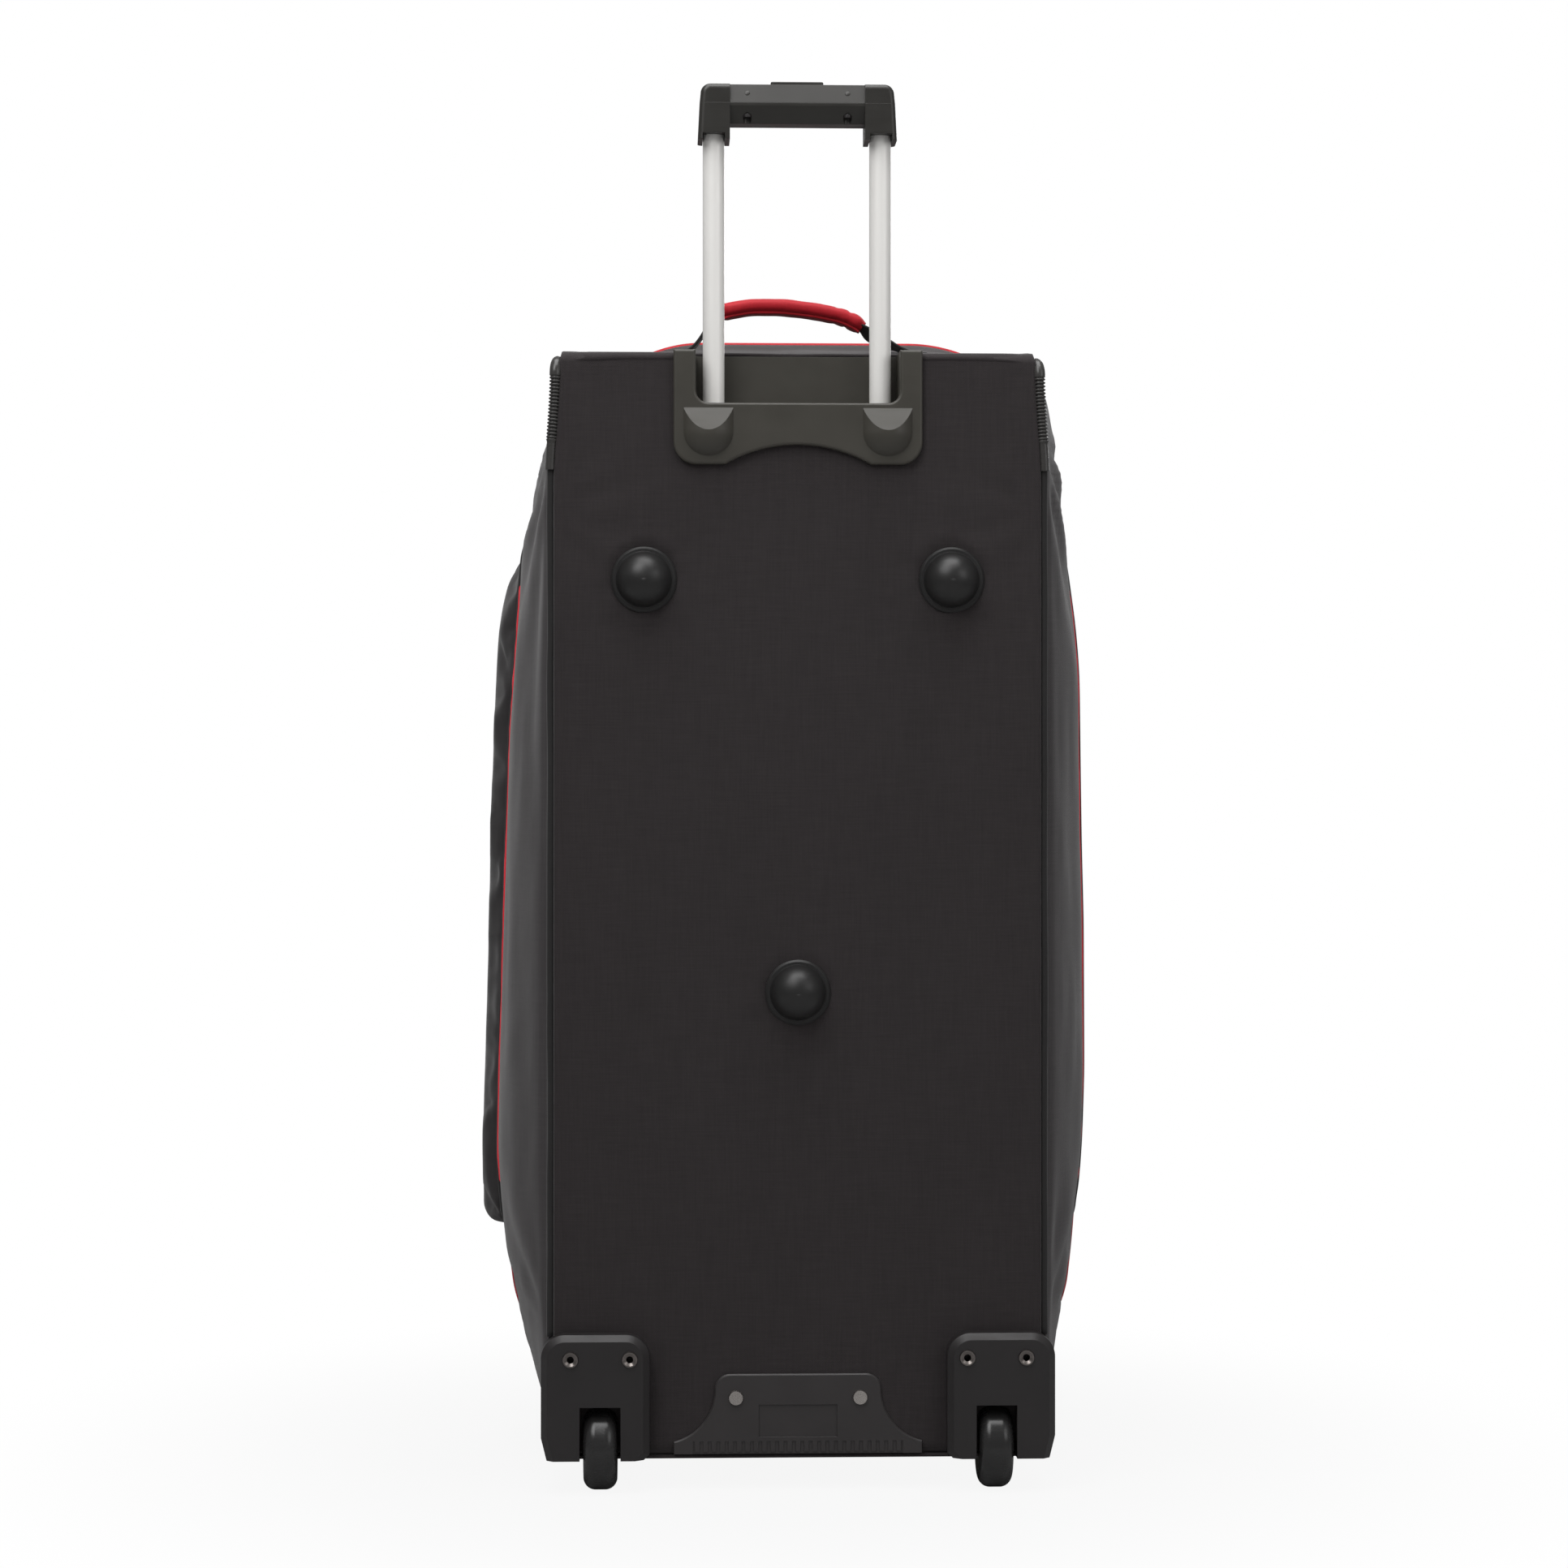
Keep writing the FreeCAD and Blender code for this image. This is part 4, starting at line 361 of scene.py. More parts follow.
def puckers(grid, side):
    """Folds that fan out below the upper back corner, and the slack of soft cloth."""
    depth, height = grid[..., 1], grid[..., 2]
    from_corner = np.hypot(depth + 12, 752 - height)
    fan = np.arctan2(depth + 12, 752 - height)
    reach = ease(from_corner, 14, 70) * np.exp(-(from_corner / 165) ** 2)
    below = ease(height, 770, 735)
    folds = 2.6 * np.cos(fan * 15 + 0.8 * side) * reach * below
    low_corner = np.hypot(depth + 5, height - 112)
    low_fan = np.arctan2(depth + 5, height - 112)
    low_reach = ease(low_corner, 14, 60) * np.exp(-(low_corner / 130) ** 2)
    folds += 1.5 * np.cos(low_fan * 12) * low_reach * ease(height, 105, 130)
    slack = 2.2 * noise_at(grid, (60, 46, 190), 3.1 + side) + 0.9 * noise_at(grid, (25, 20, 75), 7.7)
    edges = ease(depth, 0, 30) * ease(depth, SEAM_Y, SEAM_Y - 25)
    calm = 1 - 0.85 * np.exp(-((depth - 88) / 16) ** 2) * ease(height, 150, 190) * ease(height, 690, 660)
    return (folds + slack) * edges * calm


def seam_tuck(depth):
    """The cloth dips where it is sewn to the back panel's piping."""
    return -2.2 * np.exp(-((depth - 4) / 3.5) ** 2)


def shell_panels():
    """Side and end panels: one continuous shell, cut where its seams are."""
    depths = np.concatenate([np.linspace(0, 24, 9), np.linspace(32, SEAM_Y, 44)])
    runs = {}
    for side in (1, -1):
        sections = [split_outline(depth, side) for depth in depths]
        for index, part in enumerate(("bottom", "side", "top")):
            grid = np.array([[(x, depth, z) for x, z in section[index]]
                             for depth, section in zip(depths, sections)])
            runs[part, side] = grid
    for side, word in SIDES:
        grid = runs["side", side]
        normal = grid_normals(grid) * (-side)
        grid = grid + normal * (puckers(grid, side) + seam_tuck(grid[..., 1]))[..., None]
        over_top = ease(grid[..., 2], BACK_TOP - 16, BACK_TOP - 3)
        grid[..., 2] -= back_roll_drop(grid[..., 1], grid[..., 0]) * over_top
        panel = sheet_object(f"{word}_side_cloth", grid, flip=side < 0)
        thicken(panel, CLOTH_THICK)
        dress(panel, "bag", "side_fabric", CLOTH_SIDE, f"{word}_side_panel")
    for part, cad_node in (("top", "top_end_panel"), ("bottom", "bottom_end_panel")):
        right, left = runs[part, 1], runs[part, -1]
        if part == "top":
            grid = np.concatenate([right, left[:, ::-1][:, 1:]], axis=1)
        else:
            grid = np.concatenate([left[:, ::-1], right[:, 1:]], axis=1)
        depth, across = grid[..., 1], grid[..., 0]
        edges = ease(depth, 20, 90) * ease(depth, SEAM_Y + 4, SEAM_Y - 26)
        if part == "top":
            sag = -TOP_SAG * edges + 1.2 * noise_at(grid, (60, 50, 60), 5.5) * edges
            grid[..., 2] += sag - back_roll_drop(depth, across)
        grid[..., 2] += 0.8 * noise_at(grid, (40, 40, 40), 9.5) * edges

        def in_tray(centre):
            """Where the handle well takes the cloth's place."""
            return part == "top" and abs(centre[0]) < TRAY_HALF and centre[1] < WELL_HIGH[1] + 0.6

        panel = sheet_object(cad_node.replace("panel", "cloth"), grid, drop=in_tray)
        thicken(panel, CLOTH_THICK)
        dress(panel, "bag", "side_fabric", CLOTH_BACK, cad_node)


# Back panel -------------------------------------------------------------------------------

# How far the rolled top lies below the straight line, the middles of the dome feet (across, up),
# and how far the panel reaches over the top
TOP_LOWER = 2.2
DOMES = [(110, 650), (-110, 650), (0, 355)]
TAIL = 34


def roll_radius(across):
    """The back panel rolls over the top in a soft curve, tighter beside the handle well."""
    return 3.4 + 1.6 * ease(np.abs(across), 120, 165)


def back_roll_drop(depth, across):
    """How far the top lies below its straight line where the back panel rolls over it."""
    radius = roll_radius(across)
    part = np.clip(1 - depth / radius, 0, 1)
    return radius * (1 - np.sqrt(1 - part ** 2)) + TOP_LOWER * ease(depth, 150, 40)


def back_panel():
    """Padded back panel that rolls over the top, with the room for the handle well."""
    across = np.linspace(-1, 1, 141)
    heights = np.concatenate([[0.0], np.linspace(1.5, 5, 3), np.linspace(9, 700, 150)])
    rows = []
    for height in heights:
        curl = 5 * (1 - ease(height, 0, 5))
        x = across * (BACK_HALF - 1.6)
        z = BACK_LOW + height
        rows.append(np.stack([x, np.full_like(x, curl), np.full_like(x, z)], 1))
    start = BACK_LOW + heights[-1]
    for step in np.linspace(0, 3, 43)[1:]:
        x = across * (BACK_HALF - 1.6)
        radius = roll_radius(x)
        straight = BACK_TOP - TOP_LOWER - radius - start
        arc = radius * math.pi / 2
        along = min(step, 1) * straight + np.clip(step - 1, 0, 1) * arc + max(step - 2, 0) * (TAIL - radius)
        turn = np.clip((along - straight) / radius, 0, math.pi / 2)
        z = start + np.minimum(along, straight) + radius * np.sin(turn)
        y = radius * (1 - np.cos(turn)) + np.maximum(along - straight - arc, 0)
        z = z + (FRONT_TOP - BACK_TOP) * y / SEAM_Y
        narrow = 1 - 0.012 * ease(z, BACK_TOP - 9, BACK_TOP) * np.abs(across) ** 20
        rows.append(np.stack([x * narrow, y, z], 1))
    grid = np.array(rows)
    grid[..., 0] *= edge_half(grid[..., 2]) / BACK_HALF
    x, z = grid[..., 0], grid[..., 2]
    edge = edge_half(z) - 1.6 - np.abs(x)
    pad = -0.9 * ease(edge, 2, 22) + 1.4 * np.exp(-(edge / 3.0) ** 2) * ease(z, BACK_TOP - 6, BACK_TOP - 30)
    slack = 0.55 * noise_at(grid, (55, 55, 150), 1.7) + 0.22 * noise_at(grid, (16, 16, 30), 4.4)
    creases = 0.0
    for dome_x, dome_z in DOMES:
        away = np.hypot(x - dome_x, z - dome_z)
        around = np.arctan2(z - dome_z, x - dome_x)
        uneven = noise_at(np.stack([np.cos(around), np.sin(around), around * 0 + dome_x], -1), 0.45, 2.0)
        creases = creases + 0.8 * uneven * np.exp(-((away - 30) / 12) ** 2)
        creases = creases + 0.5 * np.exp(-((away - 29) / 5) ** 2) - 1.4 * ease(away, 27, 24)
    for sign in (1, -1):
        away = np.hypot(x - sign * BACK_HALF, z - 700)
        around = np.arctan2(z - 700, BACK_HALF - sign * x)
        fan = np.cos(around * 9 + 1.4 * noise_at(grid, (70, 70, 70), 6.6))
        creases = creases + 0.45 * fan * ease(away, 8, 40) * np.exp(-(away / 75) ** 2)
    calm = ease(edge, 0, 10) * (0.35 + 0.65 * ease(np.hypot(x * 0.8, np.maximum(z - 800, 0)), 0, 30))
    grid = grid - grid_normals(grid) * (-(pad + (slack + creases) * calm))[..., None]

    def in_tray(centre):
        """Where the handle well takes the cloth's place."""
        return abs(centre[0]) < TRAY_HALF - 2 and centre[2] > WELL_HIGH[2] - TRAY_DEEP

    panel = sheet_object("back_cloth", grid, drop=in_tray, flip=True)
    thicken(panel, CLOTH_THICK)
    dress(panel, "bag", "back_fabric", CLOTH_BACK, "back_panel")


# Materials --------------------------------------------------------------------------------

def shader(name, **sockets):
    """A new material with its node tree and its shader."""
    material = bpy.data.materials.new(name)
    material.use_nodes = True
    tree = material.node_tree
    bsdf = tree.nodes["Principled BSDF"]
    for socket, level in sockets.items():
        bsdf.inputs[socket.replace("_", " ")].default_value = level
    return material, tree, bsdf


def link(tree, source, target):
    """Joins an output to an input."""
    tree.links.new(source, target)


def node(tree, kind, **settings):
    """A new node with its settings."""
    item = tree.nodes.new(kind)
    for key, level in settings.items():
        setattr(item, key, level)
    return item


def math_node(tree, operation, first, second=None):
    """The result of one operation on numbers or outputs."""
    item = node(tree, "ShaderNodeMath", operation=operation)
    for socket, source in zip(item.inputs, (first, second)):
        if source is None:
            continue
        if isinstance(source, (int, float)):
            socket.default_value = source
        else:
            link(tree, source, socket)
    return item.outputs[0]


def noise_node(tree, coords, scale, stretch=(1, 1, 1), detail=2.0):
    """Noise with features about scale millimetres wide, drawn out along stretch."""
    mapping = node(tree, "ShaderNodeMapping")
    mapping.inputs["Scale"].default_value = [1000 / (scale * s) for s in stretch]
    link(tree, coords, mapping.inputs["Vector"])
    texture = node(tree, "ShaderNodeTexNoise")
    texture.inputs["Scale"].default_value = 1.0
    texture.inputs["Detail"].default_value = detail
    link(tree, mapping.outputs[0], texture.inputs["Vector"])
    return texture.outputs["Fac"]


def weave_field(tree, coords, pitch):
    """Over-and-under weave on all sides of an object, from 0 to 1."""
    position = node(tree, "ShaderNodeSeparateXYZ")
    link(tree, coords, position.inputs[0])
    geometry = node(tree, "ShaderNodeNewGeometry")
    facing = node(tree, "ShaderNodeSeparateXYZ")
    link(tree, geometry.outputs["Normal"], facing.inputs[0])
    turns = 2 * math.pi * 1000 / pitch
    waves = [math_node(tree, "SINE", math_node(tree, "MULTIPLY", axis, turns)) for axis in position.outputs]
    total, weights = None, None
    for axis in range(3):
        first, second = (waves[other] for other in range(3) if other != axis)
        cross = math_node(tree, "MULTIPLY", first, second)
        square = math_node(tree, "POWER", math_node(tree, "ABSOLUTE", facing.outputs[axis]), 4)
        part = math_node(tree, "MULTIPLY", cross, square)
        total = part if total is None else math_node(tree, "ADD", total, part)
        weights = square if weights is None else math_node(tree, "ADD", weights, square)
    even = math_node(tree, "DIVIDE", total, weights)
    return math_node(tree, "MULTIPLY_ADD", even, 0.5)


def spread(tree, value, low, high, start=0.0, end=1.0, **settings):
    """A value that runs from start to end, mapped to low to high."""
    item = node(tree, "ShaderNodeMapRange", **settings)
    for socket, level in (("From Min", start), ("From Max", end), ("To Min", low), ("To Max", high)):
        item.inputs[socket].default_value = level
    link(tree, value, item.inputs["Value"])
    return item.outputs[0]


def tinted(tree, colour, factor, low, high):
    """The colour times a factor between low and high, varied over the surface."""
    mix = node(tree, "ShaderNodeVectorMath", operation="SCALE")
    mix.inputs[0].default_value = colour
    link(tree, spread(tree, factor, low, high), mix.inputs["Scale"])
    return mix.outputs[0]


def bump(tree, bsdf, height, distance, strength=1.0, normal=None):
    """Relief of a distance in millimetres."""
    item = node(tree, "ShaderNodeBump")
    item.inputs["Distance"].default_value = distance * MM
    item.inputs["Strength"].default_value = strength
    link(tree, height, item.inputs["Height"])
    if normal is not None:
        link(tree, normal, item.inputs["Normal"])
    link(tree, item.outputs[0], bsdf.inputs["Normal"])


def fabric(name, colour, pitch=1.3, rough=0.85, sheen=0.25, relief=0.12, mottle=0.16):
    """Plain-woven cloth: weave, slubs along both threads, and slow changes of shade."""
    material, tree, bsdf = shader(name, Roughness=rough, Sheen_Weight=sheen, Sheen_Roughness=0.45)
    bsdf.inputs["Specular IOR Level"].default_value = 0.3
    coords = node(tree, "ShaderNodeTexCoord").outputs["Object"]
    weave = weave_field(tree, coords, pitch)
    warp = noise_node(tree, coords, 1.1, (1, 1, 22))
    weft = noise_node(tree, coords, 1.1, (22, 22, 1))
    patches = noise_node(tree, coords, 60, (1, 1, 2.4), 3)
    slubs = math_node(tree, "ADD", warp, weft)
    shade = math_node(tree, "ADD", math_node(tree, "MULTIPLY", slubs, 0.34),
                      math_node(tree, "MULTIPLY", weave, 0.2))
    shade = math_node(tree, "ADD", shade, math_node(tree, "MULTIPLY", patches, 0.12))
    link(tree, tinted(tree, colour, shade, 1 - 2.6 * mottle, 1 + 2.6 * mottle), bsdf.inputs["Base Color"])
    height = math_node(tree, "ADD", weave, math_node(tree, "MULTIPLY", slubs, 0.6))
    bump(tree, bsdf, height, relief, 0.7)
    return material


def plastic(name, colour, rough=0.42, grain=0.03, bevel=0.5):
    """Moulded plastic: fine satin grain, faint scuffs and softened edges."""
    material, tree, bsdf = shader(name)
    coords = node(tree, "ShaderNodeTexCoord").outputs["Object"]
    fine = noise_node(tree, coords, 0.7)
    cloud = noise_node(tree, coords, 25, detail=4)
    scuffs = noise_node(tree, coords, 3.0, (9, 1, 1), 3)
    link(tree, tinted(tree, colour, cloud, 0.86, 1.16), bsdf.inputs["Base Color"])
    worn = math_node(tree, "ADD", math_node(tree, "MULTIPLY", scuffs, 0.5),
                     math_node(tree, "MULTIPLY", cloud, 0.5))
    link(tree, spread(tree, worn, rough - 0.06, rough + 0.08, 0.3, 0.7), bsdf.inputs["Roughness"])
    soft = node(tree, "ShaderNodeBevel", samples=4)
    soft.inputs["Radius"].default_value = bevel * MM
    bump(tree, bsdf, fine, grain, 0.6, soft.outputs[0])
    return material


def metal(name, colour, rough, streak=(1, 1, 40), wear=0.12, bright=1.0):
    """Metal with fine drawn streaks; a lower bright shows more of the colour as diffuse, which on the pale
    tubes is a painted reflection of white surroundings.
    """
    material, tree, bsdf = shader(name, Metallic=bright)
    coords = node(tree, "ShaderNodeTexCoord").outputs["Object"]
    lines = noise_node(tree, coords, 0.6, streak, 3)
    cloud = noise_node(tree, coords, 30, detail=4)
    link(tree, tinted(tree, colour, math_node(tree, "MULTIPLY", math_node(tree, "ADD", lines, cloud), 0.5),
                      1 - wear, 1 + wear), bsdf.inputs["Base Color"])
    link(tree, spread(tree, lines, rough - 0.08, rough + 0.08), bsdf.inputs["Roughness"])
    bump(tree, bsdf, lines, 0.01, 0.5)
    return material


CLOTH_BACK = fabric("back_cloth_weave", (0.030, 0.025, 0.026), mottle=0.26, relief=0.16)
CLOTH_SIDE = fabric("side_cloth_weave", (0.051, 0.0455, 0.0475), sheen=0.3, mottle=0.22, relief=0.16)
CLOTH_POCKET = fabric("pocket_cloth_weave", (0.034, 0.031, 0.032), sheen=0.3)
RED_CLOTH = fabric("red_trim_weave", (0.92, 0.016, 0.038), 0.9, 0.6, sheen=0.3, relief=0.06, mottle=0.08)
RED_WRAP = fabric("red_wrap_weave", (0.52, 0.009, 0.020), 0.9, 0.6, sheen=0.15, relief=0.08, mottle=0.14)
BLACK_TAPE = fabric("black_binding_weave", (0.020, 0.019, 0.019), pitch=1.6, rough=0.75, sheen=0.2)
THREAD = fabric("thread_twist", (0.030, 0.028, 0.028), pitch=0.5, rough=0.6, relief=0.03)
PLASTIC = plastic("satin_plastic", (0.054, 0.050, 0.041))
DARK_PLASTIC = plastic("dark_plastic", (0.019, 0.0165, 0.017))
KICK_PLASTIC = plastic("kick_plastic", (0.035, 0.031, 0.0315))
GRIP_PLASTIC = plastic("grip_plastic", (0.024, 0.0225, 0.0195), rough=0.36)
GUARD_PLASTIC = plastic("guard_plastic", (0.045, 0.043, 0.041), rough=0.28, bevel=0.15)
GLOSS = plastic("polished_plastic", (0.014, 0.0135, 0.0135), rough=0.40, grain=0.01)
BOARD = plastic("board_plastic", (0.03, 0.03, 0.03), rough=0.5)
# Near-white colour with little metallic: the tubes' whiteness is partly their own pale metal colour and
# partly a painted reflection of white surroundings.
ALUMINIUM = metal("satin_aluminium", (0.97, 0.955, 0.925), 0.36, wear=0.02, bright=0.08)
STEEL = metal("plated_steel", (0.45, 0.42, 0.40), 0.26, (1, 1, 1), 0.25)
DARK_STEEL = metal("aged_steel", (0.20, 0.18, 0.17), 0.30, (1, 1, 1), 0.3)
TYRE = plastic("wheel_rubber", (0.021, 0.0205, 0.0205), rough=0.24, grain=0.01, bevel=0.4)
ZIP = plastic("zip_nylon", (0.022, 0.022, 0.022), rough=0.38, grain=0.01, bevel=0.15)

CAD_MATERIALS = {
    "handle_well": PLASTIC, "tube_collars": PLASTIC, "tube_bracket": PLASTIC, "slider_feet": PLASTIC,
    "grip_lower_shell": GRIP_PLASTIC, "grip_upper_shell": GRIP_PLASTIC, "release_button": GRIP_PLASTIC,
    "button_bridge": PLASTIC, "kick_plate": KICK_PLASTIC, "dome_feet": GLOSS, "base_board": BOARD,
    "lock_pins": STEEL, "grip_screws": DARK_PLASTIC, "push_rods": STEEL, "kick_plate_rivets": STEEL,
    "zip_slider": ZIP, "zip_puller": ZIP,
}
for word in ("left", "right"):
    CAD_MATERIALS.update({
        f"{word}_outer_tube": ALUMINIUM, f"{word}_inner_tube": ALUMINIUM,
        f"{word}_wheel_housing": DARK_PLASTIC, f"{word}_housing_rivets": DARK_STEEL,
        f"{word}_tyre": TYRE, f"{word}_wheel_hub": PLASTIC, f"{word}_wheel_bearings": STEEL,
        f"{word}_wheel_axle": STEEL, f"{word}_axle_washers": STEEL, f"{word}_stand_foot": PLASTIC,
    })


def paint(obj, material):
    """Gives an object its one material."""
    obj.data.materials.clear()
    obj.data.materials.append(material)


def dress(obj, body, slot, material, *nodes):
    """Puts a piece on its body with its material, in place of CAD nodes."""
    paint(obj, material)
    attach(obj, body)
    if nodes:
        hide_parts(*nodes)
    return obj


for name, material in CAD_MATERIALS.items():
    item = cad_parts[name]
    for index in range(len(item.material_slots)):
        item.material_slots[index].material = material


# Piping and guards ------------------------------------------------------------------------

def edge_line(side, low, high, over=0.0):
    """The seam line of the back panel's edge; over follows it over the top for a length."""
    line = [(side * edge_half(z), 0.0, z) for z in np.linspace(low, high, 60)]
    radius = 10
    if over:
        for angle in np.linspace(0, math.pi / 2, 20)[1:]:
            line.append((side * (edge_half(high) - 2 * (1 - math.cos(angle))), radius * (1 - math.cos(angle)),
                         high + radius * math.sin(angle)))
        last = line[-1]
        for step in np.linspace(0, over, 6)[1:]:
            line.append((last[0] - side * 0.3 * step, last[1] + step, last[2] + 0.1 * step))
    return np.array(line)


def edge_pipings():
    """Black piping up both edges of the back panel, with its row of stitches."""
    for side, word in SIDES:
        line = edge_line(side, HOUSE_HIGH - 3, GUARD_LOW + 4)
        wobble = 0.5 * noise_at(line, (1, 1, 60), 2.2 + side)
        line[:, 0] += wobble + side * 0.4
        piping = sweep(f"{word}_edge_cord", resampled(line, 160), circle(2.7, 14), (0, 1, 0))
        dress(piping, "bag", "back_fabric", BLACK_TAPE, f"{word}_edge_piping")
        rows = line - (side * 5.2, 0.9, 0)
        thread = stitches(f"{word}_edge_stitching", rows, (0, -1, 0))
        dress(thread, "bag", "back_fabric", THREAD)


def corner_guards():
    """Ribbed rubber sleeves that bend over the top corners."""
    ribs_low, ribs_high, rib_pitch = GUARD_LOW + 22, GUARD_LOW + 67, 2.5
    for side, word in SIDES:
        line = resampled(edge_line(side, GUARD_LOW, BACK_TOP - 15.5, 14), 420)
        line += (side * 1.1, -1.6, 0)
        steps = np.concatenate([[0], np.cumsum(np.linalg.norm(np.diff(line, axis=0), axis=1))])
        height = GUARD_LOW + steps
        wave = 0.5 + 0.5 * np.cos((height - ribs_low) / rib_pitch * 2 * math.pi)
        ribbed = ease(height, ribs_low - 0.6, ribs_low + 0.6)
        ribbed = ribbed * ease(height, ribs_high + 0.6, ribs_high - 0.6)
        size = 4.1 - 1.3 * ribbed * wave ** 2 - 0.8 * ease(height, ribs_low, ribs_low - 3)
        size = size * (1 - 0.25 * ease(height, steps[-1] + GUARD_LOW - 8, steps[-1] + GUARD_LOW))
        scale = np.stack([size * 0.95, size], 1)
        guard = sweep(f"{word}_guard_sleeve", line, circle(1, 20), (side, 0.2, 0), scale)
        dress(guard, "bag", "black_plastic", GUARD_PLASTIC, f"{word}_corner_guard")


def ring_outline(depth):
    """The whole section outline at a depth, as a closed line from the bottom middle."""
    right = half_outline(depth, 1)
    left = half_outline(depth, -1)[::-1]
    return np.concatenate([right, left[1:-1]])


def front_seam():
    """Red piping between the sides and the front, with its black binding behind, made wide enough to lay
    painted shade on the top cloth beside the piping.
    """
    outline = closed_ring(ring_outline(SEAM_Y), 720)
    line = np.stack([outline[:, 0], np.full(len(outline), SEAM_Y + SEAM_WIDE / 2), outline[:, 1]], 1)
    centre = np.array([0, line[0, 1], 430])
    outward = line - centre
    outward /= np.linalg.norm(outward, axis=1, keepdims=True)
    piping = sweep("front_seam_cord", line + outward * 0.9, circle(3.1, 14), outward, closed=True)
    dress(piping, "bag", "red_trim", RED_WRAP, "front_seam_piping")
    # The black binding is partly real seam binding and partly painted shade: it is widened so its black
    # covers the lit band of top cloth next to the cord.
    behind = line - (0, 3.2, 0)
    binding = sweep("front_seam_binding_painted_shade", behind - outward * 0.6, flat_oval(3.4, 3.0, 12), outward,
                    closed=True)
    dress(binding, "bag", "side_fabric", BLACK_TAPE)


# Front panel, lid and zip -----------------------------------------------------------------

LID_HALF, LID_CORNER = 135, 105
LID_LOW, LID_HIGH = HINGE_Z - 0.6, 775
ZIP_LOW = 150
FRONT_CENTRE = np.array([0.0, 445.0])


def arch_outline(inset=0.0, low_inset=0.0):
    """The arched opening's closed outline from its bottom middle, to the right."""
    half, turn = LID_HALF - inset, LID_CORNER - inset
    low, high = LID_LOW + low_inset, LID_HIGH - inset
    angle = np.linspace(0, math.pi / 2, 60)
    round_low = 6
    right = np.concatenate([
        np.stack([np.linspace(0, half - round_low, 60), np.full(60, low)], 1),
        np.stack([half - round_low + round_low * np.sin(angle),
                  low + round_low - round_low * np.cos(angle)], 1),
        np.stack([np.full(200, half), np.linspace(low + round_low, high - turn, 200)], 1)[1:],
        np.stack([half - turn + turn * np.cos(angle), high - turn + turn * np.sin(angle)], 1)[1:],
        np.stack([np.linspace(half - turn, 0, 20), np.full(20, high)], 1)[1:],
    ])
    left = right[::-1] * (-1, 1)
    return np.concatenate([right, left[1:-1]])


def along_rays(outline, centre, directions):
    """Where rays from the centre meet a closed convex outline."""
    angles = np.arctan2(outline[:, 1] - centre[1], outline[:, 0] - centre[0])
    reach = np.hypot(outline[:, 0] - centre[0], outline[:, 1] - centre[1])
    order = np.argsort(angles)
    angles, reach = angles[order], reach[order]
    angles = np.concatenate([angles - 2 * math.pi, angles, angles + 2 * math.pi])
    reach = np.tile(reach, 3)
    wanted = np.arctan2(directions[:, 1], directions[:, 0])
    found = np.interp(wanted, angles, reach)
    unit = directions / np.linalg.norm(directions, axis=1, keepdims=True)
    return centre + unit * found[:, None]


def front_ring():
    """The rounded rim of the front, from the red piping to the opening's edge."""
    outer = closed_ring(ring_outline(SEAM_Y), 480)
    inner = along_rays(arch_outline(), FRONT_CENTRE, outer - FRONT_CENTRE)
    toward = inner - outer
    reach = np.linalg.norm(toward, axis=1, keepdims=True)
    toward = toward / reach
    turn = 18
    rows = []
    for angle in np.linspace(0, math.pi / 2, 9):
        place = outer + toward * turn * (1 - math.cos(angle))
        depth = FACE_Y - turn + turn * math.sin(angle)
        if angle == 0:
            rows.append(np.insert(outer, 1, SEAM_Y + SEAM_WIDE / 2, axis=1))
        rows.append(np.insert(place, 1, depth, axis=1))
    for step in np.linspace(0, 1, 14)[1:]:
        place = outer + toward * (turn + (reach - turn) * step)
        depth = FACE_Y + 1.6 * math.sin(math.pi * step)
        rows.append(np.insert(place, 1, depth, axis=1))
    grid = np.array(rows)
    grid[-1, :, 1] -= 1.0
    hem = grid[-1].copy()
    hem[:, 1] -= 5
    grid = np.concatenate([grid, hem[None]])
    normal = -grid_normals(grid)
    calm = np.concatenate([[0], np.ones(len(grid) - 4), [0, 0, 0]])[:, None]
    slack = 1.5 * noise_at(grid, (45, 45, 90), 6.1) + 0.5 * noise_at(grid, (14, 14, 20), 2.6)
    grid = grid + normal * (slack * calm)[..., None]
    panel = sheet_object("front_cloth", grid, closed=True)
    thicken(panel, CLOTH_THICK)
    dress(panel, "bag", "side_fabric", CLOTH_SIDE, "front_panel")


def lid_height(away):
    """How far the lid bows out at a distance from its edge."""
    return (FRONT_MOST - FACE_Y - 1) * (1 - (1 - np.clip(away / 72, 0, 1)) ** 2)


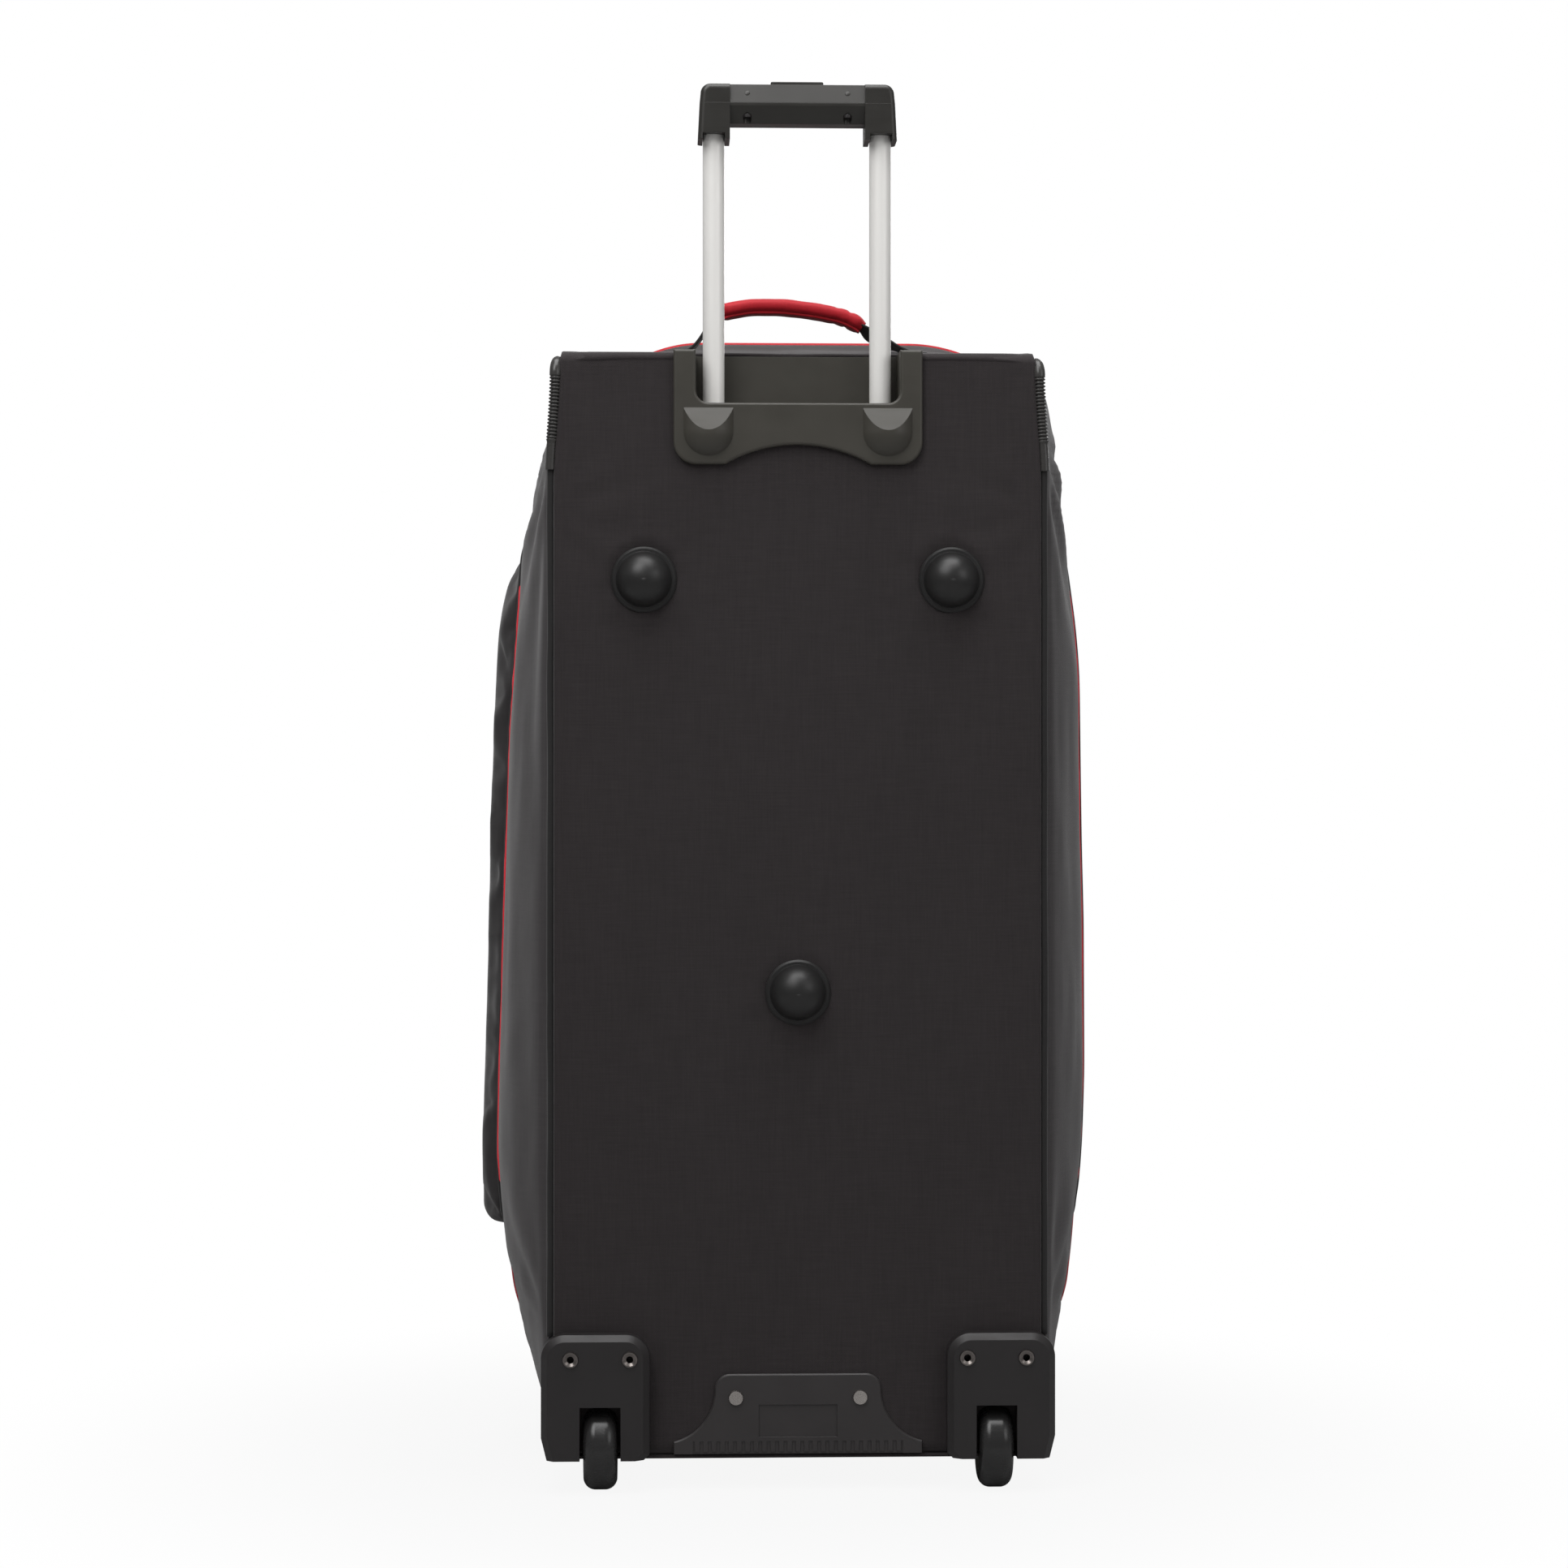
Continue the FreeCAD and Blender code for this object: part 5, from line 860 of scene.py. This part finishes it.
def lid():
    """The padded lid, crowned between its edges and puckered along the zip."""
    outer = closed_ring(arch_outline(1.5, 0.6), 400)
    spine = np.stack([np.zeros(len(outer)), np.clip(outer[:, 1], LID_LOW + 120, LID_HIGH - 120)], 1)
    toward = spine - outer
    reach = np.linalg.norm(toward, axis=1, keepdims=True)
    rows = [np.insert(outer, 1, FACE_Y - 4, axis=1), np.insert(outer, 1, FACE_Y, axis=1)]
    for step in np.linspace(0, 1, 36)[1:]:
        place = outer + toward * step
        away = reach[:, 0] * step
        pucker = 0.9 * np.sin(np.arange(len(outer)) * 2 * math.pi / 7.0) * np.exp(-(away / 14) ** 2)
        depth = FACE_Y + lid_height(away) + pucker
        rows.append(np.stack([place[:, 0], depth, place[:, 1]], 1))
    grid = np.array(rows)
    slack = 1.3 * noise_at(grid, (60, 60, 120), 8.2) + 0.4 * noise_at(grid, (18, 18, 26), 1.4)
    share = np.concatenate([[0, 0], ease(np.linspace(0, 1, 36)[1:], 0, 0.35)])[:, None]
    grid[..., 1] += slack * share
    panel = sheet_object("lid_cloth", grid, closed=True)
    thicken(panel, CLOTH_THICK)
    dress(panel, "lid", "side_fabric", CLOTH_SIDE, "lid_panel")
    row = grid[4] + (0, 0.6, 0)
    thread = stitches("lid_stitching", row[8:-8], (0, 1, 0))
    dress(thread, "lid", "side_fabric", THREAD)


def zip_line(outset):
    """Path of the zip round the opening, from its right lower end to its left lower end."""
    line = arch_outline(-outset)
    line = line[line[:, 1] > ZIP_LOW]
    return np.insert(line, 1, FACE_Y, axis=1)


def zip_teeth():
    """The zip's tape and its two rows of teeth."""
    line = resampled(zip_line(5), 700)
    tape = sweep("zip_tape", line[::3] + (0, 0.5, 0), flat_oval(15, 1.0, 12, 5), (0, 1, 0))
    dress(tape, "bag", "zip", BLACK_TAPE, "zip_chain")
    tangent, side = path_frames(line, (0, 1, 0))[:2]
    points, faces = [], []
    corners = [(-1, -1), (1, -1), (1, 1), (-1, 1)]
    for index in range(len(line)):
        across = 1.1 if index % 2 else -1.1
        base = len(points)
        for level, shrink in ((0.6, 1.0), (1.5, 1.0), (2.1, 0.7)):
            for a, b in corners:
                points.append(line[index] + side[index] * (across + a * 1.9 * shrink)
                              + tangent[index] * b * 0.72 * shrink + (0, level, 0))
        faces += quads(3, 4, True, base)
        faces += [[base + 8, base + 9, base + 10, base + 11], [base + 3, base + 2, base + 1, base]]
    teeth = new_object("zip_coil", points, faces, smooth=False)
    dress(teeth, "bag", "zip", ZIP, "zip_chain")


# Side pockets -----------------------------------------------------------------------------

# Half widths of the pockets' faces by height, how much each face tilts out with depth,
# and the depth at which the half widths hold
LEFT_FACE = smooth_table([
    (174, 228), (188, 229), (252, 229.5), (368, 226), (484, 223.5), (554, 221), (612, 218.5), (640, 214.5),
    (664, 208), (687, 200)], 14)
RIGHT_FACE = smooth_table([
    (174, 214), (188, 215), (252, 217.5), (368, 218), (484, 215.5), (554, 214.5), (612, 210), (640, 206),
    (664, 202), (687, 196)], 14)
LEFT_TILT, RIGHT_TILT = 0.04, 0.115
FACE_MIDDLE = 180


def pocket_outline():
    """Closed outline of the pocket in (depth, height)."""
    low_y, high_y = POCKET_LOW[1], POCKET_HIGH[1]
    low_z, high_z = POCKET_LOW[2], POCKET_HIGH[2]
    turn = 35
    angle = np.linspace(0, math.pi / 2, 30)
    centres = [(high_y - turn, low_z + turn, -math.pi / 2), (high_y - turn, high_z - turn, 0),
               (low_y + turn, high_z - turn, math.pi / 2), (low_y + turn, low_z + turn, math.pi)]
    corners = [np.stack([cy + turn * np.cos(start + angle), cz + turn * np.sin(start + angle)], 1)
               for cy, cz, start in centres]
    return closed_ring(np.concatenate(corners), 240)


def pocket_face(depth, height, away, side):
    """X of the pocket's outside at a place, away millimetres from its sewn edge."""
    if side > 0:
        face = RIGHT_FACE(height) + RIGHT_TILT * (depth - FACE_MIDDLE)
    else:
        face = LEFT_FACE(height) + LEFT_TILT * (depth - FACE_MIDDLE)
    body = half_width(height, depth, side)
    top_share = ease(height, 560, 687)
    reach = 7 + 43 * top_share
    swell = np.sqrt(1 - (1 - np.clip(away / reach, 0, 1)) ** 2)
    return body + 1.0 + (face - body - 1.0) * swell


def side_pocket(side, word):
    """A stuffed pocket on the side panel, blown up by cloth simulation from a slightly smaller form."""
    outline = pocket_outline()
    spine = np.stack([np.full(len(outline), outline[:, 0].mean()),
                      np.clip(outline[:, 1], POCKET_LOW[2] + 88, POCKET_HIGH[2] - 88)], 1)
    toward = spine - outline
    reach = np.linalg.norm(toward, axis=1)
    rings = []
    steps = np.linspace(0, 1, 22) ** 1.3
    for step in steps:
        place = outline + toward * step
        x = pocket_face(place[:, 0], place[:, 1], reach * step, side) - 1.5 * ease(step, 0, 0.3)
        rings.append(np.stack([side * x, place[:, 0], place[:, 1]], 1))
    inner = []
    for step in steps[::-1]:
        place = outline + toward * step
        x = half_width(place[:, 1], place[:, 0], side) - 1.5
        inner.append(np.stack([side * x, place[:, 0], place[:, 1]], 1))
    grid = np.array(rings[::-1] + inner[::-1])
    pocket = sheet_object(f"{word}_pocket_cloth", grid, closed=True, flip=side < 0)
    weld = pocket.modifiers.new("weld", "WELD")
    weld.merge_threshold = 0.0004
    baked(pocket)

    def held(points):
        """Which points lie on the side panel, where the pocket is sewn."""
        body = np.array([half_width(z, y, side) for _, y, z in points])
        return np.abs(points[:, 0]) < body + 1.2

    inflate(pocket, voxel=5.5, pressure=3.0, cap=5.0, held=held)
    dress(pocket, "bag", "side_fabric", CLOTH_POCKET, f"{word}_side_pocket")
    edge = np.vstack([outline, outline[:1]])
    body = half_width(edge[:, 1], edge[:, 0], side)
    ruffle = 1.4 * np.sin(np.arange(len(edge)) * 1.15) * ease(edge[:, 1], 215, 180)
    line = np.stack([side * (body + 2.2 + 0.5 * ruffle), edge[:, 0], edge[:, 1] + ruffle], 1)
    binding = sweep(f"{word}_pocket_binding", resampled(line, 400)[:-1], circle(2.0, 10), (side, 0, 0),
                    closed=True)
    dress(binding, "bag", "side_fabric", BLACK_TAPE)


SIM_FRAMES = 20


def mesh_points(mesh):
    """A mesh's points as an array, in metres."""
    points = np.empty(len(mesh.vertices) * 3)
    mesh.vertices.foreach_get("co", points)
    return points.reshape(-1, 3)


def inflate(obj, voxel, pressure, cap, held):
    """Cloth simulation of a stuffed piece: pressure from inside, held points fixed, movement capped."""
    remesh = obj.modifiers.new("remesh", "REMESH")
    remesh.mode = "VOXEL"
    remesh.voxel_size = voxel * MM
    baked(obj)
    mesh = obj.data
    start = mesh_points(mesh)
    in_bag = (start - (0, BACK_FACE, 0)) / MM
    group = obj.vertex_groups.new(name="held")
    group.add([int(i) for i in np.flatnonzero(held(in_bag))], 1.0, "REPLACE")
    cloth = obj.modifiers.new("cloth", "CLOTH")
    settings = cloth.settings
    settings.quality = 6
    settings.mass = 0.25
    settings.tension_stiffness = 18
    settings.compression_stiffness = 18
    settings.bending_stiffness = 0.6
    settings.use_pressure = True
    settings.uniform_pressure_force = pressure
    settings.vertex_group_mass = "held"
    settings.effector_weights.gravity = 0
    settings.shrink_min = -0.03
    cloth.point_cache.frame_start = 1
    cloth.point_cache.frame_end = SIM_FRAMES
    scene = bpy.context.scene
    for step in range(1, SIM_FRAMES + 1):
        scene.frame_set(step)
    graph = bpy.context.evaluated_depsgraph_get()
    end = mesh_points(obj.evaluated_get(graph).to_mesh())
    obj.evaluated_get(graph).to_mesh_clear()
    obj.modifiers.clear()
    scene.frame_set(1)
    move = end - start
    length = np.linalg.norm(move, axis=1, keepdims=True)
    move *= np.minimum(1, cap * MM / np.maximum(length, 1e-9))
    mesh.vertices.foreach_set("co", (start + move).ravel())
    mesh.update()
    subdivide(obj)
    obj.data.polygons.foreach_set("use_smooth", [True] * len(obj.data.polygons))


def pocket_pipings():
    """Red piping just behind each pocket, following the side panel's bow."""
    for side, word in SIDES:
        low, high = span(f"{word}_pocket_piping")
        depth = (low[1] + high[1]) / 2
        heights = np.linspace(low[2] + 4, high[2] - 4, 200)
        x = half_width(heights, depth, side) + 1.6
        line = np.stack([side * x, np.full_like(heights, depth), heights], 1)
        ends = ease(heights, heights[0], heights[0] + 22) * ease(heights, heights[-1], heights[-1] - 22)
        line[:, 1] += 14 * (1 - ends) ** 2
        line[:, 0] += side * 0.5 * noise_at(line, (1, 1, 80), 3.3 + side)
        piping = sweep(f"{word}_pocket_cord", line, circle(1.7, 12), (side, 0, 0))
        dress(piping, "bag", "red_trim", RED_CLOTH, f"{word}_pocket_piping")


# Handles ----------------------------------------------------------------------------------

def grip_plugs():
    """Flush caps over the ends of the screw bores, on the grip's sloping rear facet."""
    facet_run = 5.0
    foot_behind = 4.0
    hole_behind = 1.4
    profile = ((0.05, -0.6), (1.9, -0.6), (1.9, 0.05), (1.5, 0.22), (0.05, 0.25))
    low, high = span("grip_upper_shell")
    seats = span("grip_screws")
    seat_y = (seats[0][1] + seats[1][1]) / 2
    seat_x = seats[1][0] - (seats[1][1] - seats[0][1]) / 2
    lean = np.array([0.0, facet_run, high[2] - low[2]])
    up_share = (foot_behind - hole_behind) / facet_run
    place = np.array([0.0, seat_y - hole_behind, low[2] + up_share * lean[2]])
    lean /= np.linalg.norm(lean)
    outward = np.array([0.0, -lean[2], lean[1]])
    angle = np.linspace(0, 2 * math.pi, 25)[:-1]
    ring = np.outer(np.cos(angle), (1, 0, 0)) + np.outer(np.sin(angle), lean)
    for side, word in SIDES:
        middle = place + (side * seat_x, 0, 0)
        rows = [middle + outward * height + radius * ring for radius, height in profile]
        plug = sheet_object(f"{word}_grip_plug", np.array(rows), closed=True)
        dress(plug, "pull_handle", "black_plastic", GRIP_PLASTIC)


def grab_handle():
    """Webbing strap with its padded red wrap, slumped to the right as it lies."""
    y = 165.0
    top = float(top_height(y)) - TOP_SAG
    shape = [(-88, top + 1.2), (-79, top + 1.8), (-73, top + 6), (-67, top + 14), (-62, 853), (-52, 863),
             (-30, 867), (-5, 867), (20, 864), (40, 860), (53, 854), (58, 849), (64, top + 14),
             (72, top + 11), (82, top + 7), (92, top + 2), (104, top + 1.2)]
    line = rounded_path([(x, y, z) for x, z in shape], 260, 50)
    twist = np.radians(10) * ease(line[:, 0], 52, 62) * ease(line[:, 0], 84, 70)
    up = np.stack([np.zeros(len(line)), np.sin(twist), np.cos(twist)], 1)
    strap = sweep("grab_strap", line, flat_oval(25, 2.4, 24, 6), up)
    dress(strap, "bag", "webbing", BLACK_TAPE, "grab_handle_strap")
    inside = (line[:, 0] > -53) & (line[:, 0] < 56)
    core = resampled(line[inside], 150)
    along = np.linspace(0, 1, len(core))
    pinch = 1 - 0.22 * np.exp(-(along / 0.03) ** 2) - 0.22 * np.exp(-((1 - along) / 0.03) ** 2)
    fold = 1 - 0.16 * np.exp(-((along - 0.885) / 0.016) ** 2) - 0.08 * np.exp(-((along - 0.80) / 0.02) ** 2)
    wide = pinch * (1 + 0.03 * noise_at(core, (22, 22, 22), 5.0))
    high = pinch * fold * (1 + 0.06 * noise_at(core, (14, 14, 14), 9.0))
    wrap = sweep("grab_wrap", core, flat_oval(30, 12.2, 40, 2.7), (0, 0, 1), np.stack([wide, high], 1))
    dress(wrap, "bag", "red_trim", RED_WRAP, "grab_handle_wrap")
    side, over = path_frames(core, (0, 0, 1))[1:]
    lip_line = core - over * 5.2 + side * 10.5
    lip = sweep("grab_wrap_seam", lip_line, flat_oval(3.0, 2.2, 10), (0, 0, 1), pinch)
    dress(lip, "bag", "red_trim", RED_WRAP, "grab_handle_wrap")


# Stage, camera and light ------------------------------------------------------------------

def show_share(tree, share, first, second, output):
    """Shows the second shader by a share, and the first for the rest."""
    mix = node(tree, "ShaderNodeMixShader")
    for socket, source in zip(mix.inputs, (share, first, second)):
        link(tree, source, socket)
    link(tree, mix.outputs[0], tree.nodes[output].inputs["Surface"])


def stage():
    """Pale floor, and surroundings that are white to the camera."""
    bpy.ops.mesh.primitive_plane_add(size=12, location=(0, 0, 0))
    floor = bpy.context.object
    floor.name = "floor"
    material = bpy.data.materials.new("pale_floor")
    material.use_nodes = True
    tree = material.node_tree
    bsdf = tree.nodes["Principled BSDF"]
    bsdf.inputs["Base Color"].default_value = (0.42, 0.42, 0.42, 1)
    bsdf.inputs["Roughness"].default_value = 0.9
    glow = node(tree, "ShaderNodeEmission")
    glow.inputs["Strength"].default_value = 1.0
    paths = node(tree, "ShaderNodeLightPath")
    away = node(tree, "ShaderNodeVectorMath", operation="LENGTH")
    link(tree, node(tree, "ShaderNodeTexCoord").outputs["Object"], away.inputs[0])
    fade = spread(tree, away.outputs["Value"], 0.91, 1.0, 0.25, 0.7, interpolation_type="SMOOTHSTEP")
    bright = math_node(tree, "MULTIPLY", paths.outputs["Is Camera Ray"], fade)
    show_share(tree, bright, bsdf.outputs[0], glow.outputs[0], "Material Output")
    paint(floor, material)

    world = bpy.data.worlds.new("studio")
    bpy.context.scene.world = world
    world.use_nodes = True
    tree = world.node_tree
    light = tree.nodes["Background"]
    light.inputs["Color"].default_value = (1, 1, 1, 1)
    light.inputs["Strength"].default_value = 0.24
    seen = node(tree, "ShaderNodeBackground")
    seen.inputs["Color"].default_value = (1, 1, 1, 1)
    seen.inputs["Strength"].default_value = 1.0
    paths = node(tree, "ShaderNodeLightPath")
    bright = math_node(tree, "MAXIMUM", paths.outputs["Is Camera Ray"], paths.outputs["Is Transmission Ray"])
    show_share(tree, bright, light.outputs[0], seen.outputs[0], "World Output")


def lamp(name, place, target, size, power):
    """A soft square lamp."""
    data = bpy.data.lights.new(name, "AREA")
    data.energy = power
    data.shape = "SQUARE"
    data.size = size
    obj = bpy.data.objects.new(name, data)
    obj.location = place
    obj.rotation_euler = (Vector(target) - Vector(place)).to_track_quat("-Z", "Y").to_euler()
    bpy.context.scene.collection.objects.link(obj)


# The camera's place in the bag's frame, its turn about the vertical and its focal length
CAMERA_PLACE = (-97.2, -2498.5, 504.0)
CAMERA_TURN = math.radians(2)
CAMERA_LENS = 80.3


def camera():
    """Level view of the back panel, turned two degrees from its left."""
    data = bpy.data.cameras.new("camera")
    data.sensor_width = 36
    data.lens = CAMERA_LENS
    obj = bpy.data.objects.new("camera", data)
    obj.location = Vector(to_frame(CAMERA_PLACE))
    obj.rotation_euler = (math.pi / 2, 0, -CAMERA_TURN)
    bpy.context.scene.collection.objects.link(obj)
    bpy.context.scene.camera = obj


camera()
stage()
lamp("key", (-0.9, -1.5, 2.2), (0, 0, 0.6), 1.2, 20)
lamp("fill", (1.7, -1.7, 1.5), (0, 0, 0.6), 1.2, 7)
lamp("overhead", (0, -0.4, 2.6), (0, 0, 0.5), 1.6, 34)
lamp("rear", (0.6, 2.4, 1.6), (0, 0, 0.5), 1.4, 22)

shell_panels()
back_panel()
edge_pipings()
corner_guards()
front_seam()
front_ring()
lid()
zip_teeth()
for sign, word in SIDES:
    side_pocket(sign, word)
pocket_pipings()
grip_plugs()
grab_handle()

bpy.context.scene.view_settings.view_transform = "Standard"

bpy.context.view_layer.update()
